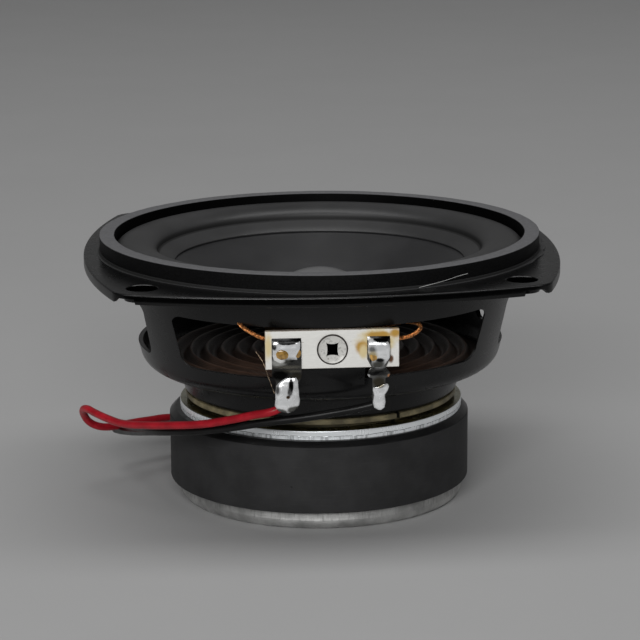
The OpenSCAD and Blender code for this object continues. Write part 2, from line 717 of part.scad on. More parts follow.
module tip_of(route) {
  end = route[len(route) - 1];
  dir = tangent(route, len(route) - 1);
  translate(end) rotate([0, 90, atan2(dir[1], dir[0])]) cylinder(h = tip_l, r = tip_d / 2, $fn = 24);
}

module red_lead_tip() {
  color([0.8, 0.8, 0.78]) tip_of(red_route);
}

module black_lead_tip() {
  color([0.8, 0.8, 0.78]) tip_of(black_route);
}

back_plate();
pole_piece();
magnet();
top_plate();
spacer_ring();
frame_rivets();
basket();
gasket_ring();
surround();
cone();
dust_cap();
coil_former();
voice_coil();
spider();
lead_anchors();
terminal_board();
board_eyelet();
positive_lug();
negative_lug();
positive_solder();
negative_solder();
left_flying_lead();
right_flying_lead();
red_lead();
black_lead();
red_lead_tip();
black_lead_tip();
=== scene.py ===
"""Full-range speaker driver: the looks of each part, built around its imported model."""

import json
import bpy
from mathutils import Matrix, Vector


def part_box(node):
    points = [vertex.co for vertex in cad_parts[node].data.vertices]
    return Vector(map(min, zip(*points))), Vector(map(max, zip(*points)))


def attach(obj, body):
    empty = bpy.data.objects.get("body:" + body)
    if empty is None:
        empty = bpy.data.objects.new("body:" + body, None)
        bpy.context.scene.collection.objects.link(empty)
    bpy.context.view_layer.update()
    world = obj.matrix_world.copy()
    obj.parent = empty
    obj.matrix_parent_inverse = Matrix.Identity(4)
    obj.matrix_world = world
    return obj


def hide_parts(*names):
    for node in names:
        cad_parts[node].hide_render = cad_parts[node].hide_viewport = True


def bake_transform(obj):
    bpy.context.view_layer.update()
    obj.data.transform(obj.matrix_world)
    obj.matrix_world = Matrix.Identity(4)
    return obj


bl_info = {
    "name": "Full-range speaker driver",
    "version": (1, 0, 0),
    "blender": (4, 5, 0),
    "location": "View3D > Sidebar > Driver",
    "description": "Builds the visible parts of a four inch full-range speaker driver",
    "category": "Object",
}

from math import asin, atan2, cos, degrees, hypot, pi, radians, sin, sqrt, tan

import bmesh
import bpy
from bpy.props import FloatProperty, FloatVectorProperty, IntProperty, PointerProperty
from mathutils import Matrix, Vector, noise

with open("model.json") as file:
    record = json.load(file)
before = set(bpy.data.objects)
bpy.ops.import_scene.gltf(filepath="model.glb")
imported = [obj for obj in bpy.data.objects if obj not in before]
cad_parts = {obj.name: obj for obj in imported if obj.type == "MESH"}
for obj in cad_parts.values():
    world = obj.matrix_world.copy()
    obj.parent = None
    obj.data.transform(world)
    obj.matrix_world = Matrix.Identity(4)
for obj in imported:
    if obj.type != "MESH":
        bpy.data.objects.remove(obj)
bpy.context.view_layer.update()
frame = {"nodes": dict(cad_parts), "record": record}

MM = 0.001
STEEL_BODY = "frame"
CONE_BODY = "diaphragm"

# Heights of the stack in millimetres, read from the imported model
PLATE_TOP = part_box("back_plate")[1].z / MM
MAGNET_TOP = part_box("magnet")[1].z / MM
TOP_PLATE_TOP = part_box("top_plate")[1].z / MM
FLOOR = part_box("basket")[0].z / MM
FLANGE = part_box("basket")[1].z / MM
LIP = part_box("gasket_ring")[0].z / MM
GASKET_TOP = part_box("gasket_ring")[1].z / MM

# The terminal board: its corners, its front face, and the middles of the board and the two lugs
BOARD_LOW, BOARD_HIGH = (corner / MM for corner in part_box("terminal_board"))
BOARD_MID = (BOARD_LOW.z + BOARD_HIGH.z) / 2
FACE = -BOARD_LOW.y
BOARD_X = -0.6
POS_X = BOARD_X - 9.9
NEG_X = BOARD_X + 10.0

# Direction of the spacer's slot, in degrees from the front
SLOT_TURN = 29.5

# The mounting holes stand where the record says
HOLES = next(mount["dims"] for mount in frame["record"]["mounts"] if mount["name"] == "mounting_holes")
HOLE_AT = HOLES["pcd_mm"] / 2
HOLE_R = HOLES["hole_r_mm"]

# The photograph shows the ring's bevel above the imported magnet's top, and a thinner top plate
RING_TOP = MAGNET_TOP + 1.05


# User settings


def length(name, description, default):
    settings = {"min": 0, "unit": "LENGTH", "precision": 5}
    return FloatProperty(name=name, description=description, default=default, **settings)


def tint(name, description, default):
    settings = {"min": 0, "max": 1, "subtype": "COLOR"}
    return FloatVectorProperty(name=name, description=description, default=default, **settings)


class DriverSizes(bpy.types.PropertyGroup):
    """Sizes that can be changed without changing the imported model"""

    lead: length("Lead", "Diameter of the insulated leads", 0.0018)
    braid: length("Braid", "Diameter of the braided flying leads", 0.0009)
    strand: length("Strand", "Diameter of one copper strand bundle", 0.00034)
    rim_edge: length("Rim edge", "Rounding of the folded rim's lower edge", 0.0002)
    board_edge: length("Board edge", "Rounding of the terminal board's edges", 0.00018)
    shear: length("Shear line", "Height of the rough sheared part of the top plate's edge", 0.0009)
    turns: IntProperty(
        name="Segments", description="Segments round a full circle", default=240, min=48, max=480
    )


class DriverColours(bpy.types.PropertyGroup):
    """Colours of the finishes"""

    paint: tint("Paint", "Black paint of the basket", (0.0036, 0.0036, 0.0038))
    rubber: tint("Rubber", "Rubber of the surround", (0.029, 0.029, 0.0296))
    cone: tint("Cone", "Plastic of the cone", (0.021, 0.021, 0.022))
    cap: tint("Dust cap", "Plastic of the dust cap", (0.125, 0.125, 0.127))
    gasket: tint("Gasket", "Foam of the gasket ring", (0.0055, 0.0055, 0.0057))
    cloth: tint("Spider cloth", "Resin-stiffened cloth of the spider", (0.028, 0.016, 0.011))
    ferrite: tint("Ferrite", "Ground ferrite of the magnet", (0.0195, 0.0195, 0.0202))
    zinc: tint("Zinc", "Bright zinc plating", (0.95, 0.98, 1.0))
    dull_zinc: tint("Dull zinc", "Dull zinc plating", (0.56, 0.56, 0.55))
    fibre: tint("Fibre", "Waxed fibre of the spacer ring", (0.2, 0.17, 0.095))
    board: tint("Board", "Paper board of the terminals", (0.9, 0.89, 0.85))
    tin: tint("Tin", "Tinned sheet of the lugs", (0.7, 0.7, 0.68))
    solder: tint("Solder", "Solder", (0.9, 0.91, 0.92))
    flux: tint("Flux", "Set flux", (0.35, 0.2, 0.05))
    copper: tint("Copper", "Bare copper strands", (0.9, 0.34, 0.11))
    red: tint("Red lead", "Insulation of the positive lead", (0.4, 0.012, 0.022))
    black: tint("Black lead", "Insulation of the negative lead", (0.006, 0.006, 0.006))
    floor: tint("Floor", "Floor and backdrop", (0.39, 0.39, 0.39))


# Shader maths


def shade(colour, factor):
    """The colour made darker or lighter, each channel at most 1."""
    return [min(1, c * factor) for c in colour]


class Signal:
    """A socket of a finish that can be used in a Python expression."""

    def __init__(self, finish, socket):
        self.finish = finish
        self.socket = socket

    def maths(self, operation, *values):
        return self.finish.node("ShaderNodeMath", {"operation": operation}, dict(enumerate(values)))

    def __add__(self, other):
        return self.maths("ADD", self, other)

    __radd__ = __add__

    def __mul__(self, other):
        return self.maths("MULTIPLY", self, other)

    __rmul__ = __mul__

    def __sub__(self, other):
        return self.maths("SUBTRACT", self, other)

    def __rsub__(self, other):
        return self.maths("SUBTRACT", other, self)

    def __truediv__(self, other):
        return self.maths("DIVIDE", self, other)

    def __pow__(self, other):
        return self.maths("POWER", self, other)

    def __lt__(self, other):
        return self.maths("LESS_THAN", self, other)

    def __gt__(self, other):
        return self.maths("GREATER_THAN", self, other)

    def __abs__(self):
        return self.maths("ABSOLUTE", self)

    def most(self, other):
        return self.maths("MAXIMUM", self, other)

    def ramp(self, low, high):
        """0 below low, 1 above high, smooth between them."""
        inputs = {"Value": self, "From Min": low, "From Max": high}
        return self.finish.node("ShaderNodeMapRange", {"interpolation_type": "SMOOTHSTEP"}, inputs)


class Finish:
    """One procedural material on Blender's Principled shader."""

    def __init__(self, name, colour, roughness, metallic=0.0, **fixed):
        self.material = bpy.data.materials.new(name)
        self.material.use_nodes = True
        self.material.diffuse_color = (*colour, 1)
        self.tree = self.material.node_tree
        self.shader = self.tree.nodes["Principled BSDF"]
        self.colour = tuple(colour)
        self.set("Base Color", (*colour, 1))
        self.set("Roughness", roughness)
        self.set("Metallic", metallic)
        for key, value in fixed.items():
            self.set(key.replace("_", " "), value)
        self.at = self.node("ShaderNodeTexCoord", {}, {}, "Object")
        self.x, self.y, self.z = (
            self.node("ShaderNodeSeparateXYZ", {}, {0: self.at}, axis) for axis in "XYZ"
        )

    def set(self, name, value):
        socket = self.shader.inputs[name]
        if isinstance(value, Signal):
            self.tree.links.new(value.socket, socket)
        else:
            socket.default_value = value

    def node(self, kind, settings, inputs, output=0):
        """Adds a node, sets its settings first, then the values or links of its sockets."""
        made = self.tree.nodes.new(kind)
        for key, value in settings.items():
            setattr(made, key, value)
        for key, value in inputs.items():
            if isinstance(value, Signal):
                self.tree.links.new(value.socket, made.inputs[key])
            else:
                made.inputs[key].default_value = value
        return Signal(self, made.outputs[output])

    def scaled(self, x, y, z):
        """Object coordinates, stretched by a factor per axis."""
        return self.node("ShaderNodeMapping", {}, {"Vector": self.at, "Scale": (x, y, z)})

    def noise(self, size, detail=3.0, vector=None):
        """Noise whose features measure about size millimetres."""
        inputs = {"Vector": vector or self.at, "Scale": 1 / (size * MM), "Detail": detail, "Roughness": 0.55}
        return self.node("ShaderNodeTexNoise", {}, inputs)

    def cells(self, size, output="Distance"):
        """Cells that measure about size millimetres; distance is counted in cells."""
        return self.node("ShaderNodeTexVoronoi", {}, {"Vector": self.at, "Scale": 1 / (size * MM)}, output)

    def drawn(self, size, channel="Red"):
        """A number between 0 and 1 for each of the cells, the same all over a cell."""
        colour = self.cells(size, "Color")
        return self.node("ShaderNodeSeparateColor", {}, {0: colour}, channel)

    def mix(self, share, first, second):
        """A colour between first, where share is 0, and second, where it is 1."""

        def full(colour):
            return colour if isinstance(colour, Signal) else (*colour[:3], 1)

        inputs = {0: share, 6: full(first), 7: full(second)}
        return self.node("ShaderNodeMix", {"data_type": "RGBA"}, inputs, 2)

    def varied(self, share, dark, light):
        """The finish's colour, dark times as bright where share is 0 and light times where it is 1."""
        return self.mix(share, shade(self.colour, dark), shade(self.colour, light))

    def radius(self, x=None, y=None):
        x, y = x or self.x, y or self.y
        return (x * x + y * y) ** 0.5

    def angle(self):
        """Direction about Z, from -pi to pi."""
        return self.y.maths("ARCTAN2", self.y, self.x)

    def specks(self, size, share, radius):
        """Mask of small dust grains: one in some cells of the given size, with uneven outlines."""
        uneven = self.noise(size * 0.4, 2) * 0.25
        return (self.cells(size) + uneven < radius + 0.12) * (self.drawn(size) > 1 - share)

    def bump(self, height, depth, under=None):
        """A Normal from a height between 0 and 1, depth millimetres deep."""
        inputs = {"Height": height, "Distance": depth * MM, "Strength": 1.0}
        if under is not None:
            inputs["Normal"] = under
        return self.node("ShaderNodeBump", {}, inputs)


def dusty(finish, colour, share, size=1.3, grey=0.16):
    """Adds small dust grains to a dark colour, and returns the new colour and the grain mask."""
    grains = finish.specks(size, share, 0.03).most(finish.specks(size * 0.6, share * 0.6, 0.0))
    return finish.mix(grains * 0.7, colour, (grey, grey, grey)), grains


def painted(name, colour):
    """Satin black paint with a fine orange peel, faint streaks and dust, and painted shade on the folded
    rim's face and inside the bolt holes.
    """
    f = Finish(name, colour, 0.3, Specular_IOR_Level=0.36)
    cloud = f.noise(9, 4)
    base = f.varied(cloud.ramp(0.35, 0.7), 0.82, 1.25)
    base, grains = dusty(f, base, 0.03)
    lint = f.specks(2.4, 0.16, -0.04) * (f.z / MM).ramp(RIM_LOW, FLANGE)
    out, corner = f.radius() / MM, HOLE_AT / sqrt(2)
    # Painted shade: the folded rim's face is painted black. On its left and right, a metallic value below
    # also removes its reflection.
    rim = out.ramp(53.6, 54.0) * (1 - (f.z / MM).ramp(FLANGE - 0.45, FLANGE - 0.3))
    # Painted shade: the inner walls of the bolt holes are painted black.
    hole = f.radius(abs(f.x) / MM - corner, abs(f.y) / MM - corner) < HOLE_R + 0.04
    inside = hole * (f.z / MM < FLANGE - 0.12)
    # side marks where a metallic value on the black removes the reflection: more painted shade, in the holes
    # and on the rim's left and right.
    side = inside.most(rim * (abs(f.x) / MM).ramp(44, 47) * 0.5)
    f.set("Base Color", f.mix(rim.most(inside) * 0.85, f.mix(lint, base, (0.45, 0.45, 0.44)), (0, 0, 0)))
    f.set("Metallic", side)
    f.set("Roughness", 0.24 + f.noise(3, 3) * 0.08 + grains.most(lint) * 0.4 - rim * 0.14 + side * 0.4)
    peel = f.noise(0.55, 2)
    f.set("Normal", f.bump(grains, 0.03, f.bump(peel, 0.006)))
    return f.material


def rubber(name, colour):
    """Smooth moulded rubber with faint bloom and dust, and painted shade in the crease at the roll's foot and
    along its edge at the gasket's foot.
    """
    f = Finish(name, colour, 0.5)
    bloom = f.noise(14, 4)
    base = f.varied(bloom.ramp(0.3, 0.75), 0.85, 1.2)
    base, grains = dusty(f, base, 0.05)
    out = f.radius() / MM
    # Painted shade: darker in the crease at the roll's foot and along the edge at the gasket's foot.
    crease_shade = (1 - abs(out - 37.35).ramp(0.1, 0.5)).most(out.ramp(50.3, 50.6) * (1 - out.ramp(51, 51.2)))
    f.set("Base Color", f.mix(crease_shade, base, shade(colour, 0.1)))
    f.set("Roughness", 0.4 + bloom * 0.1 + grains.most(crease_shade) * 0.3)
    f.set("Normal", f.bump(f.noise(0.3, 2), 0.006))
    return f.material


def moulded(name, colour, shine, rings=0.0):
    """Satin moulded plastic, with fine turning rings where it was pressed on a form."""
    f = Finish(name, colour, shine)
    cloud = f.noise(11, 3)
    base = f.varied(cloud.ramp(0.35, 0.7), 0.9, 1.12)
    base, grains = dusty(f, base, 0.04)
    f.set("Base Color", base)
    f.set("Roughness", shine + (cloud - 0.5) * 0.12 + grains * 0.3)
    height = f.noise(0.4, 2)
    if rings:
        height = height * 0.5 + f.radius().maths("SINE", f.radius() * (2 * pi / (rings * MM))) * 0.25 + 0.25
    f.set("Normal", f.bump(height, 0.006))
    return f.material


def foam(name, colour):
    """Fine-grained gasket foam with dust, a painted highlight on its top and painted shade on the wall of its
    bore.
    """
    f = Finish(name, colour, 0.75, Specular_IOR_Level=0.06)
    grain = f.cells(0.35)
    base = f.varied(grain.ramp(0.1, 0.8), 1.35, 0.7)
    # Painted highlight: the top face is made many times lighter than the foam.
    top = (f.z / MM).ramp(GASKET_TOP - 0.2, GASKET_TOP - 0.02)
    # Painted shade: the wall of the bore is made darker.
    bore = 1 - (f.radius() / MM).ramp(47.55, 47.75)
    base = f.mix(bore, base, shade(colour, 0.15))
    base = f.mix(top * (0.6 + f.noise(0.9, 4) * 0.5), base, shade(colour, 28))
    f.set("Base Color", dusty(f, base, 0.1, 1.1, 0.25)[0])
    f.set("Roughness", 0.5 + f.noise(2, 3) * 0.15)
    f.set("Normal", f.bump(grain, 0.01, f.bump(f.noise(1.2, 3), 0.02)))
    return f.material


def cloth(name, colour):
    """Plain woven cloth, stiffened with resin, with painted highlights on the crests of its corrugations."""
    f = Finish(name, colour, 0.55)
    pitch = 2 * pi / (0.62 * MM)
    warp = f.x.maths("SINE", f.x * pitch)
    weft = f.y.maths("SINE", f.y * pitch)
    weave = (warp * weft) * 0.25 + (abs(warp) + abs(weft)) * 0.25 + 0.15
    worn = f.noise(6, 4).ramp(0.35, 0.7)
    dark = f.varied(worn, 0.6, 1.7)
    # Painted highlight: the crests of the corrugations are made lighter.
    crest_highlight = (f.z / MM).ramp(SHELF + 3.0, SHELF + 3.35)
    dark = f.mix(crest_highlight * 0.8, dark, shade(colour, 4.5))
    f.set("Base Color", f.mix(weave * 0.5, dark, shade(colour, 2.2)))
    f.set("Roughness", 0.34 + f.noise(5, 3) * 0.2)
    f.set("Normal", f.bump(weave, 0.07))
    return f.material


def ferrite(name, colour):
    """Ground ferrite: matte sides with grinding marks and small chips, and a glossier bevel."""
    f = Finish(name, colour, 0.6, Specular_IOR_Level=0.4)
    marks = f.noise(1.0, 3, f.scaled(0.25, 0.25, 4))
    cloud = f.noise(7, 4)
    chips = f.cells(2.6).ramp(0.05, 0.14)
    whole = chips.most(f.drawn(2.6, "Green") < 0.86)
    base = f.varied(cloud.ramp(0.3, 0.75), 0.75, 1.3)
    base = f.mix(marks.ramp(0.55, 0.75) * 0.35, base, shade(colour, 2))
    bevel = (f.z / MM).ramp(RING_TOP - 1.25, RING_TOP - 1.1)
    base = f.mix(bevel * 0.7, base, shade(colour, 0.2))
    f.set("Base Color", f.mix(1 - whole, base, shade(colour, 0.35)))
    f.set("Roughness", 0.62 - bevel * 0.38 + marks * 0.12)
    f.set("Normal", f.bump(whole, 0.05, f.bump(marks, 0.02)))
    return f.material


def sheared_zinc(name, colour, top, height, shear):
    """Bright zinc on a punched plate: the smooth upper part of its edge ends above a torn part, and its top
    face has a darker olive tint, a painted reflection.
    """
    f = Finish(name, colour, 0.22, 0.62)
    turn = f.angle()
    wave = f.noise(1, 2, f.node("ShaderNodeCombineXYZ", {}, {0: turn * 0.004, 1: 0.0, 2: 0.0}))
    line = top - height + shear + (wave - 0.5) * 0.9
    torn = (line - f.z / MM).ramp(-0.1, 0.12) * (f.radius() / MM).ramp(32.2, 32.6)
    streaks = f.noise(0.7, 4, f.scaled(1, 1, 0.12))
    stains = f.noise(6, 5).ramp(0.4, 0.75)
    base = f.mix(stains * 0.3, colour, [colour[0] * 0.7, colour[1] * 0.74, colour[2] * 0.74])
    base = f.mix(torn * streaks.ramp(0.45, 0.7) * 0.6, base, (0.1, 0.11, 0.11))
    edge = 1 - abs(line - f.z / MM).ramp(0.03, 0.1)
    base = f.mix(edge * f.noise(0.8, 2).ramp(0.35, 0.5) * 0.85, base, (0.04, 0.045, 0.045))
    # Painted reflection: the top face takes a darker olive tint.
    face = (f.z / MM).ramp(top - 0.12, top - 0.03)
    f.set("Base Color", f.mix(face, base, (0.42, 0.41, 0.3)))
    f.set("Metallic", 0.42 + face * 0.58)
    f.set("Roughness", 0.22 + stains * 0.15 + torn * 0.15 + streaks * 0.1 - face * 0.1)
    f.set("Normal", f.bump(streaks, 0.03, f.bump(torn * streaks, 0.12)))
    return f.material


def dull_zinc(name, colour):
    """Barrel-plated zinc, cloudy, with a rough upper band and a smoother lower one."""
    f = Finish(name, colour, 0.42, 0.9)
    streaks = f.noise(0.6, 5, f.scaled(1, 1, 0.15))
    cloud = f.noise(5, 5)
    rough_band = (f.z / MM).ramp(1.9, 2.3)
    base = f.varied(cloud.ramp(0.3, 0.7), 0.7, 1.2)
    base = f.mix(rough_band * streaks.ramp(0.5, 0.75) * 0.7, base, shade(colour, 0.35))
    f.set("Base Color", base)
    f.set("Roughness", 0.34 + cloud * 0.2 + rough_band * 0.12)
    f.set("Normal", f.bump(streaks * rough_band, 0.08, f.bump(f.noise(0.5, 3), 0.015)))
    return f.material


def bare_metal(name, colour, rough):
    """Plain plated or turned metal with faint clouds and rub marks."""
    f = Finish(name, colour, rough, 1.0)
    cloud = f.noise(3, 4)
    base = f.varied(cloud.ramp(0.35, 0.7), 0.75, 1.1)
    f.set("Base Color", base)
    f.set("Roughness", rough + (cloud - 0.5) * 0.25)
    f.set("Normal", f.bump(f.noise(0.6, 3), 0.015))
    return f.material


def waxed_fibre(name, colour):
    """Pressed fibre, blotchy with wax, with painted shade towards its foot and in its slot."""
    f = Finish(name, colour, 0.45)
    blots = f.noise(4, 5).ramp(0.35, 0.7)
    threads = f.noise(0.5, 4, f.scaled(0.3, 0.3, 2))
    base = f.varied(blots, 0.55, 1.5)
    # Painted shade: darker towards the foot, under the ring's wider rim.
    foot = 1 - (f.z / MM).ramp(FLOOR - 1.9, FLOOR - 0.7)
    base = f.mix(foot * 0.7, base, shade(colour, 0.25))
    # Painted shade: the slot is painted black.
    turn = radians(SLOT_TURN)
    slot = (abs(f.x * cos(turn) + f.y * sin(turn)) < 0.52 * MM) * (f.radius() < 31.45 * MM) * (f.y < 0)
    f.set("Base Color", f.mix(slot, base, (0.004, 0.004, 0.004)))
    f.set("Roughness", 0.4 + threads * 0.25)
    f.set("Normal", f.bump(threads, 0.05))
    return f.material


def paper_board(name, colour, stains):
    """Pale paper board with brown cut edges, a hairline crack, fibres and flux stains."""
    f = Finish(name, colour, 0.6)
    low, high = BOARD_LOW, BOARD_HIGH
    x, y, z = f.x / MM, f.y / MM, f.z / MM
    fibres = f.noise(0.6, 5, f.scaled(0.5, 1, 2))
    base = f.varied(fibres.ramp(0.3, 0.75), 0.96, 1.03)
    behind = y.ramp(low.y + 0.25, low.y + 0.7)
    across = abs(x - (low.x + high.x) / 2) + (f.noise(0.8, 3) - 0.5) * 0.3
    edge = across.ramp((high.x - low.x) / 2 - 0.2, (high.x - low.x) / 2 + 0.02)
    upright = abs(z - (low.z + high.z) / 2) + (f.noise(0.8, 3) - 0.5) * 0.2
    edge = edge.most(upright.ramp((high.z - low.z) / 2 - 0.16, (high.z - low.z) / 2 + 0.02))
    base = f.mix(edge.most(behind) * 0.75, base, (0.16, 0.09, 0.035))
    crack = 1 - abs(z - 46.6 + (f.noise(2.5, 3) - 0.5) * 1.2).ramp(0.02, 0.09)
    crack = crack * f.noise(1.5, 2).ramp(0.45, 0.55) * (1 - across.ramp(9, 11))
    base = f.mix(crack * 0.5, base, (0.2, 0.17, 0.13))
    base = blotted(f, base, stains)
    dirt = f.specks(1.6, 0.08, 0.0)
    f.set("Base Color", f.mix(dirt * 0.8, base, (0.1, 0.08, 0.06)))
    f.set("Roughness", 0.5 + fibres * 0.2)
    f.set("Normal", f.bump(fibres, 0.012))
    return f.material


def blotted(f, base, blots):
    """Lays blots over a colour, each (x, z, half width, half height, colour, softness), in mm."""
    wobble = (f.noise(1.3, 3) - 0.5) * 0.7
    for x, z, wide, tall, colour, soft in blots:
        far = f.radius((f.x / MM - x) / wide, (f.z / MM - z) / tall) + wobble
        base = f.mix(1 - far.ramp(1 - soft, 1 + soft), base, colour)
    return base


def soldered(name, colour, middle, blots, burnt=0.2):
    """Solder or tinned sheet, with blots of dross and flux and of painted light on it, x counted from its
    middle.
    """
    f = Finish(name, colour, 0.2)
    cloud = f.noise(1.1, 4).ramp(0.45, 0.7)
    frost = f.noise(0.4, 4)
    pits = f.cells(0.8).ramp(0.03, 0.1)
    base = f.mix(cloud * burnt, colour, (0.2, 0.19, 0.17))
    base = f.mix(1 - pits, base, (0.12, 0.07, 0.04))
    # Many of the blots are painted light: painted highlights, painted shade and painted dark reflections on
    # the metal.
    base = blotted(f, base, shifted(middle, blots))
    light = f.node("ShaderNodeRGBToBW", {}, {0: base})
    f.set("Base Color", base)
    f.set("Metallic", 1 - light.ramp(0.05, 0.5) * 0.65)
    f.set("Roughness", 0.17 + cloud * 0.15)
    f.set("Normal", f.bump(frost, 0.002, f.bump(f.noise(1.4, 2), 0.03)))
    return f.material


def plated_rivet(name, colour, centre_x, centre_z):
    """Dull plating on the eyelet: painted shade makes it black inside its mouth, and it is brown in the
    groove round its rim.
    """
    f = Finish(name, colour, 0.4, 0.35)
    out = f.radius(f.x / MM - centre_x, f.z / MM - centre_z)
    swirl = f.noise(0.7, 5)
    base = f.mix(swirl.ramp(0.5, 0.68) * 0.5, colour, shade(colour, 0.35))
    spots = f.cells(1.2).ramp(0.1, 0.22)
    base = f.mix((1 - spots) * out.ramp(1.8, 2.6), base, (0.09, 0.05, 0.02))
    base = f.mix(out.ramp(2.95, 3.12), base, (0.02, 0.012, 0.008))
    # Painted shade: black deep in the mouth, where a metallic value also removes the reflection.
    deep = (f.y / MM).ramp(0.02 - FACE, 0.16 - FACE) * (1 - out.ramp(2.3, 2.5))
    f.set("Base Color", f.mix(deep, base, (0.001, 0.001, 0.001)))
    f.set("Metallic", 0.35 + deep * 0.65)
    f.set("Roughness", 0.34 + swirl * 0.2 + deep * 0.4)
    f.set("Normal", f.bump(swirl, 0.03))
    return f.material


def amber(name, colour):
    """Set flux or glue: glossy amber."""
    f = Finish(name, colour, 0.12, Coat_Weight=0.6, Coat_Roughness=0.08)
    deep = f.noise(0.8, 3).ramp(0.3, 0.7)
    f.set("Base Color", f.varied(deep, 0.55, 1.35))
    f.set("Roughness", 0.1 + deep * 0.15)
    f.set("Normal", f.bump(f.noise(0.5, 2), 0.02))
    return f.material


def strands(name, colour, rough=0.28):
    """Copper or tinned strands, each a little different."""
    f = Finish(name, colour, rough, 0.7)
    lively = f.noise(0.5, 3)
    base = f.varied(lively.ramp(0.4, 0.6), 0.3, 1.25)
    f.set("Base Color", base)
    f.set("Roughness", rough + lively * 0.2)
    f.set("Normal", f.bump(f.noise(0.08, 2), 0.02))
    return f.material


def insulation(name, colour):
    """Soft plastic insulation with faint draw marks and smudges."""
    f = Finish(name, colour, 0.3, Specular_IOR_Level=0.25)
    smudge = f.noise(3.5, 4)
    base = f.varied(smudge.ramp(0.35, 0.7), 0.8, 1.18)
    f.set("Base Color", base)
    f.set("Roughness", 0.26 + smudge * 0.2)
    f.set("Normal", f.bump(f.noise(0.5, 2), 0.012))
    return f.material


def studio_floor(name, colour):
    """Plain paper floor."""
    f = Finish(name, colour, 0.85)
    cloud = f.noise(60, 3)
    f.set("Base Color", f.varied(cloud, 0.97, 1.03))
    f.set("Normal", f.bump(f.noise(0.8, 3), 0.02))
    return f.material


# Mesh helpers


def arc(cx, cz, r, a0, a1, n):
    """Points on an arc in the profile plane, with angles in degrees."""
    return [
        (cx + r * cos(radians(a0 + (a1 - a0) * i / n)), cz + r * sin(radians(a0 + (a1 - a0) * i / n)))
        for i in range(n + 1)
    ]


def lathe(profile, steps, closed=True):
    """A bmesh spun from a profile of (radius, height) in millimetres."""
    bm = bmesh.new()
    points = [bm.verts.new((r * MM, 0, z * MM)) for r, z in profile]
    ends = list(zip(points, points[1:])) + ([(points[-1], points[0])] if closed else [])
    edges = [bm.edges.new(pair) for pair in ends]
    bmesh.ops.spin(
        bm, geom=points + edges, cent=(0, 0, 0), axis=(0, 0, 1), angle=2 * pi, steps=steps, use_merge=True
    )
    bmesh.ops.remove_doubles(bm, verts=bm.verts, dist=1e-7)
    bmesh.ops.recalc_face_normals(bm, faces=bm.faces)
    return bm


def prism(outline, depth, place):
    """A bmesh that extrudes an outline of (x, y) in millimetres by depth, placed by a matrix."""
    bm = bmesh.new()
    face = bm.faces.new([bm.verts.new((x * MM, y * MM, 0)) for x, y in outline])
    moved = bmesh.ops.extrude_face_region(bm, geom=[face])["geom"]
    top = [v for v in moved if isinstance(v, bmesh.types.BMVert)]
    bmesh.ops.translate(bm, verts=top, vec=(0, 0, depth * MM))
    bmesh.ops.recalc_face_normals(bm, faces=bm.faces)
    bmesh.ops.transform(bm, matrix=place, verts=bm.verts)
    bmesh.ops.recalc_face_normals(bm, faces=bm.faces)
    return bm


def smoothed(mesh, angle):
    mesh.shade_smooth()
    mesh.set_sharp_from_angle(angle=radians(angle))


def piece(name, bm, finish, body=STEEL_BODY, replaces=(), angle=32, blended=False):
    """Turns a bmesh into a finished piece of the driver."""
    mesh = bpy.data.meshes.new(name)
    bm.to_mesh(mesh)
    bm.free()
    return dressed(name, mesh, finish, body, replaces, angle, blended)


def dressed(name, mesh, finish, body=STEEL_BODY, replaces=(), angle=32, blended=False):
    smoothed(mesh, angle)
    mesh.materials.append(finish)
    made = bpy.data.objects.new(name, mesh)
    bpy.context.scene.collection.objects.link(made)
    if not blended:
        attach(made, body)
    if replaces:
        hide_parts(*replaces)
    return made


def applied(made):
    """Applies the modifiers of an object and returns the new mesh."""
    graph = bpy.context.evaluated_depsgraph_get()
    return bpy.data.meshes.new_from_object(made.evaluated_get(graph))


def carved(bm, cutters, joined=(), bores=()):
    """A mesh of bm with the cutters taken out, then those in joined added, then the bores cut."""

    def loose(source, label):
        mesh = bpy.data.meshes.new(label)
        source.to_mesh(mesh)
        source.free()
        made = bpy.data.objects.new(label, mesh)
        bpy.context.scene.collection.objects.link(made)
        return made

    body = loose(bm, "blank")
    tools = []
    for operation, group in (("DIFFERENCE", cutters), ("UNION", joined), ("DIFFERENCE", bores)):
        for source in group:
            tool = loose(source, "tool")
            tools.append(tool)
            step = body.modifiers.new(operation.lower(), "BOOLEAN")
            step.operation, step.solver, step.object = operation, "EXACT", tool
    mesh = applied(body)
    for made in [body] + tools:
        old = made.data
        bpy.data.objects.remove(made)
        bpy.data.meshes.remove(old)
    return mesh


def swept(paths, radius):
    """A bmesh of round strands that follow paths of points in metres."""
    curve = bpy.data.curves.new("strands", "CURVE")
    curve.dimensions = "3D"
    curve.bevel_depth = radius
    curve.bevel_resolution = 2
    curve.use_fill_caps = True
    for path in paths:
        spline = curve.splines.new("POLY")
        spline.points.add(len(path) - 1)
        for point, co in zip(spline.points, path):
            point.co = (*co, 1)
    made = bpy.data.objects.new("strands", curve)
    bpy.context.scene.collection.objects.link(made)
    mesh = applied(made)
    bpy.data.objects.remove(made)
    bpy.data.curves.remove(curve)
    bm = bmesh.new()
    bm.from_mesh(mesh)
    bpy.data.meshes.remove(mesh)
    bmesh.ops.remove_doubles(bm, verts=bm.verts, dist=1e-7)
    bmesh.ops.recalc_face_normals(bm, faces=bm.faces)
    return bm


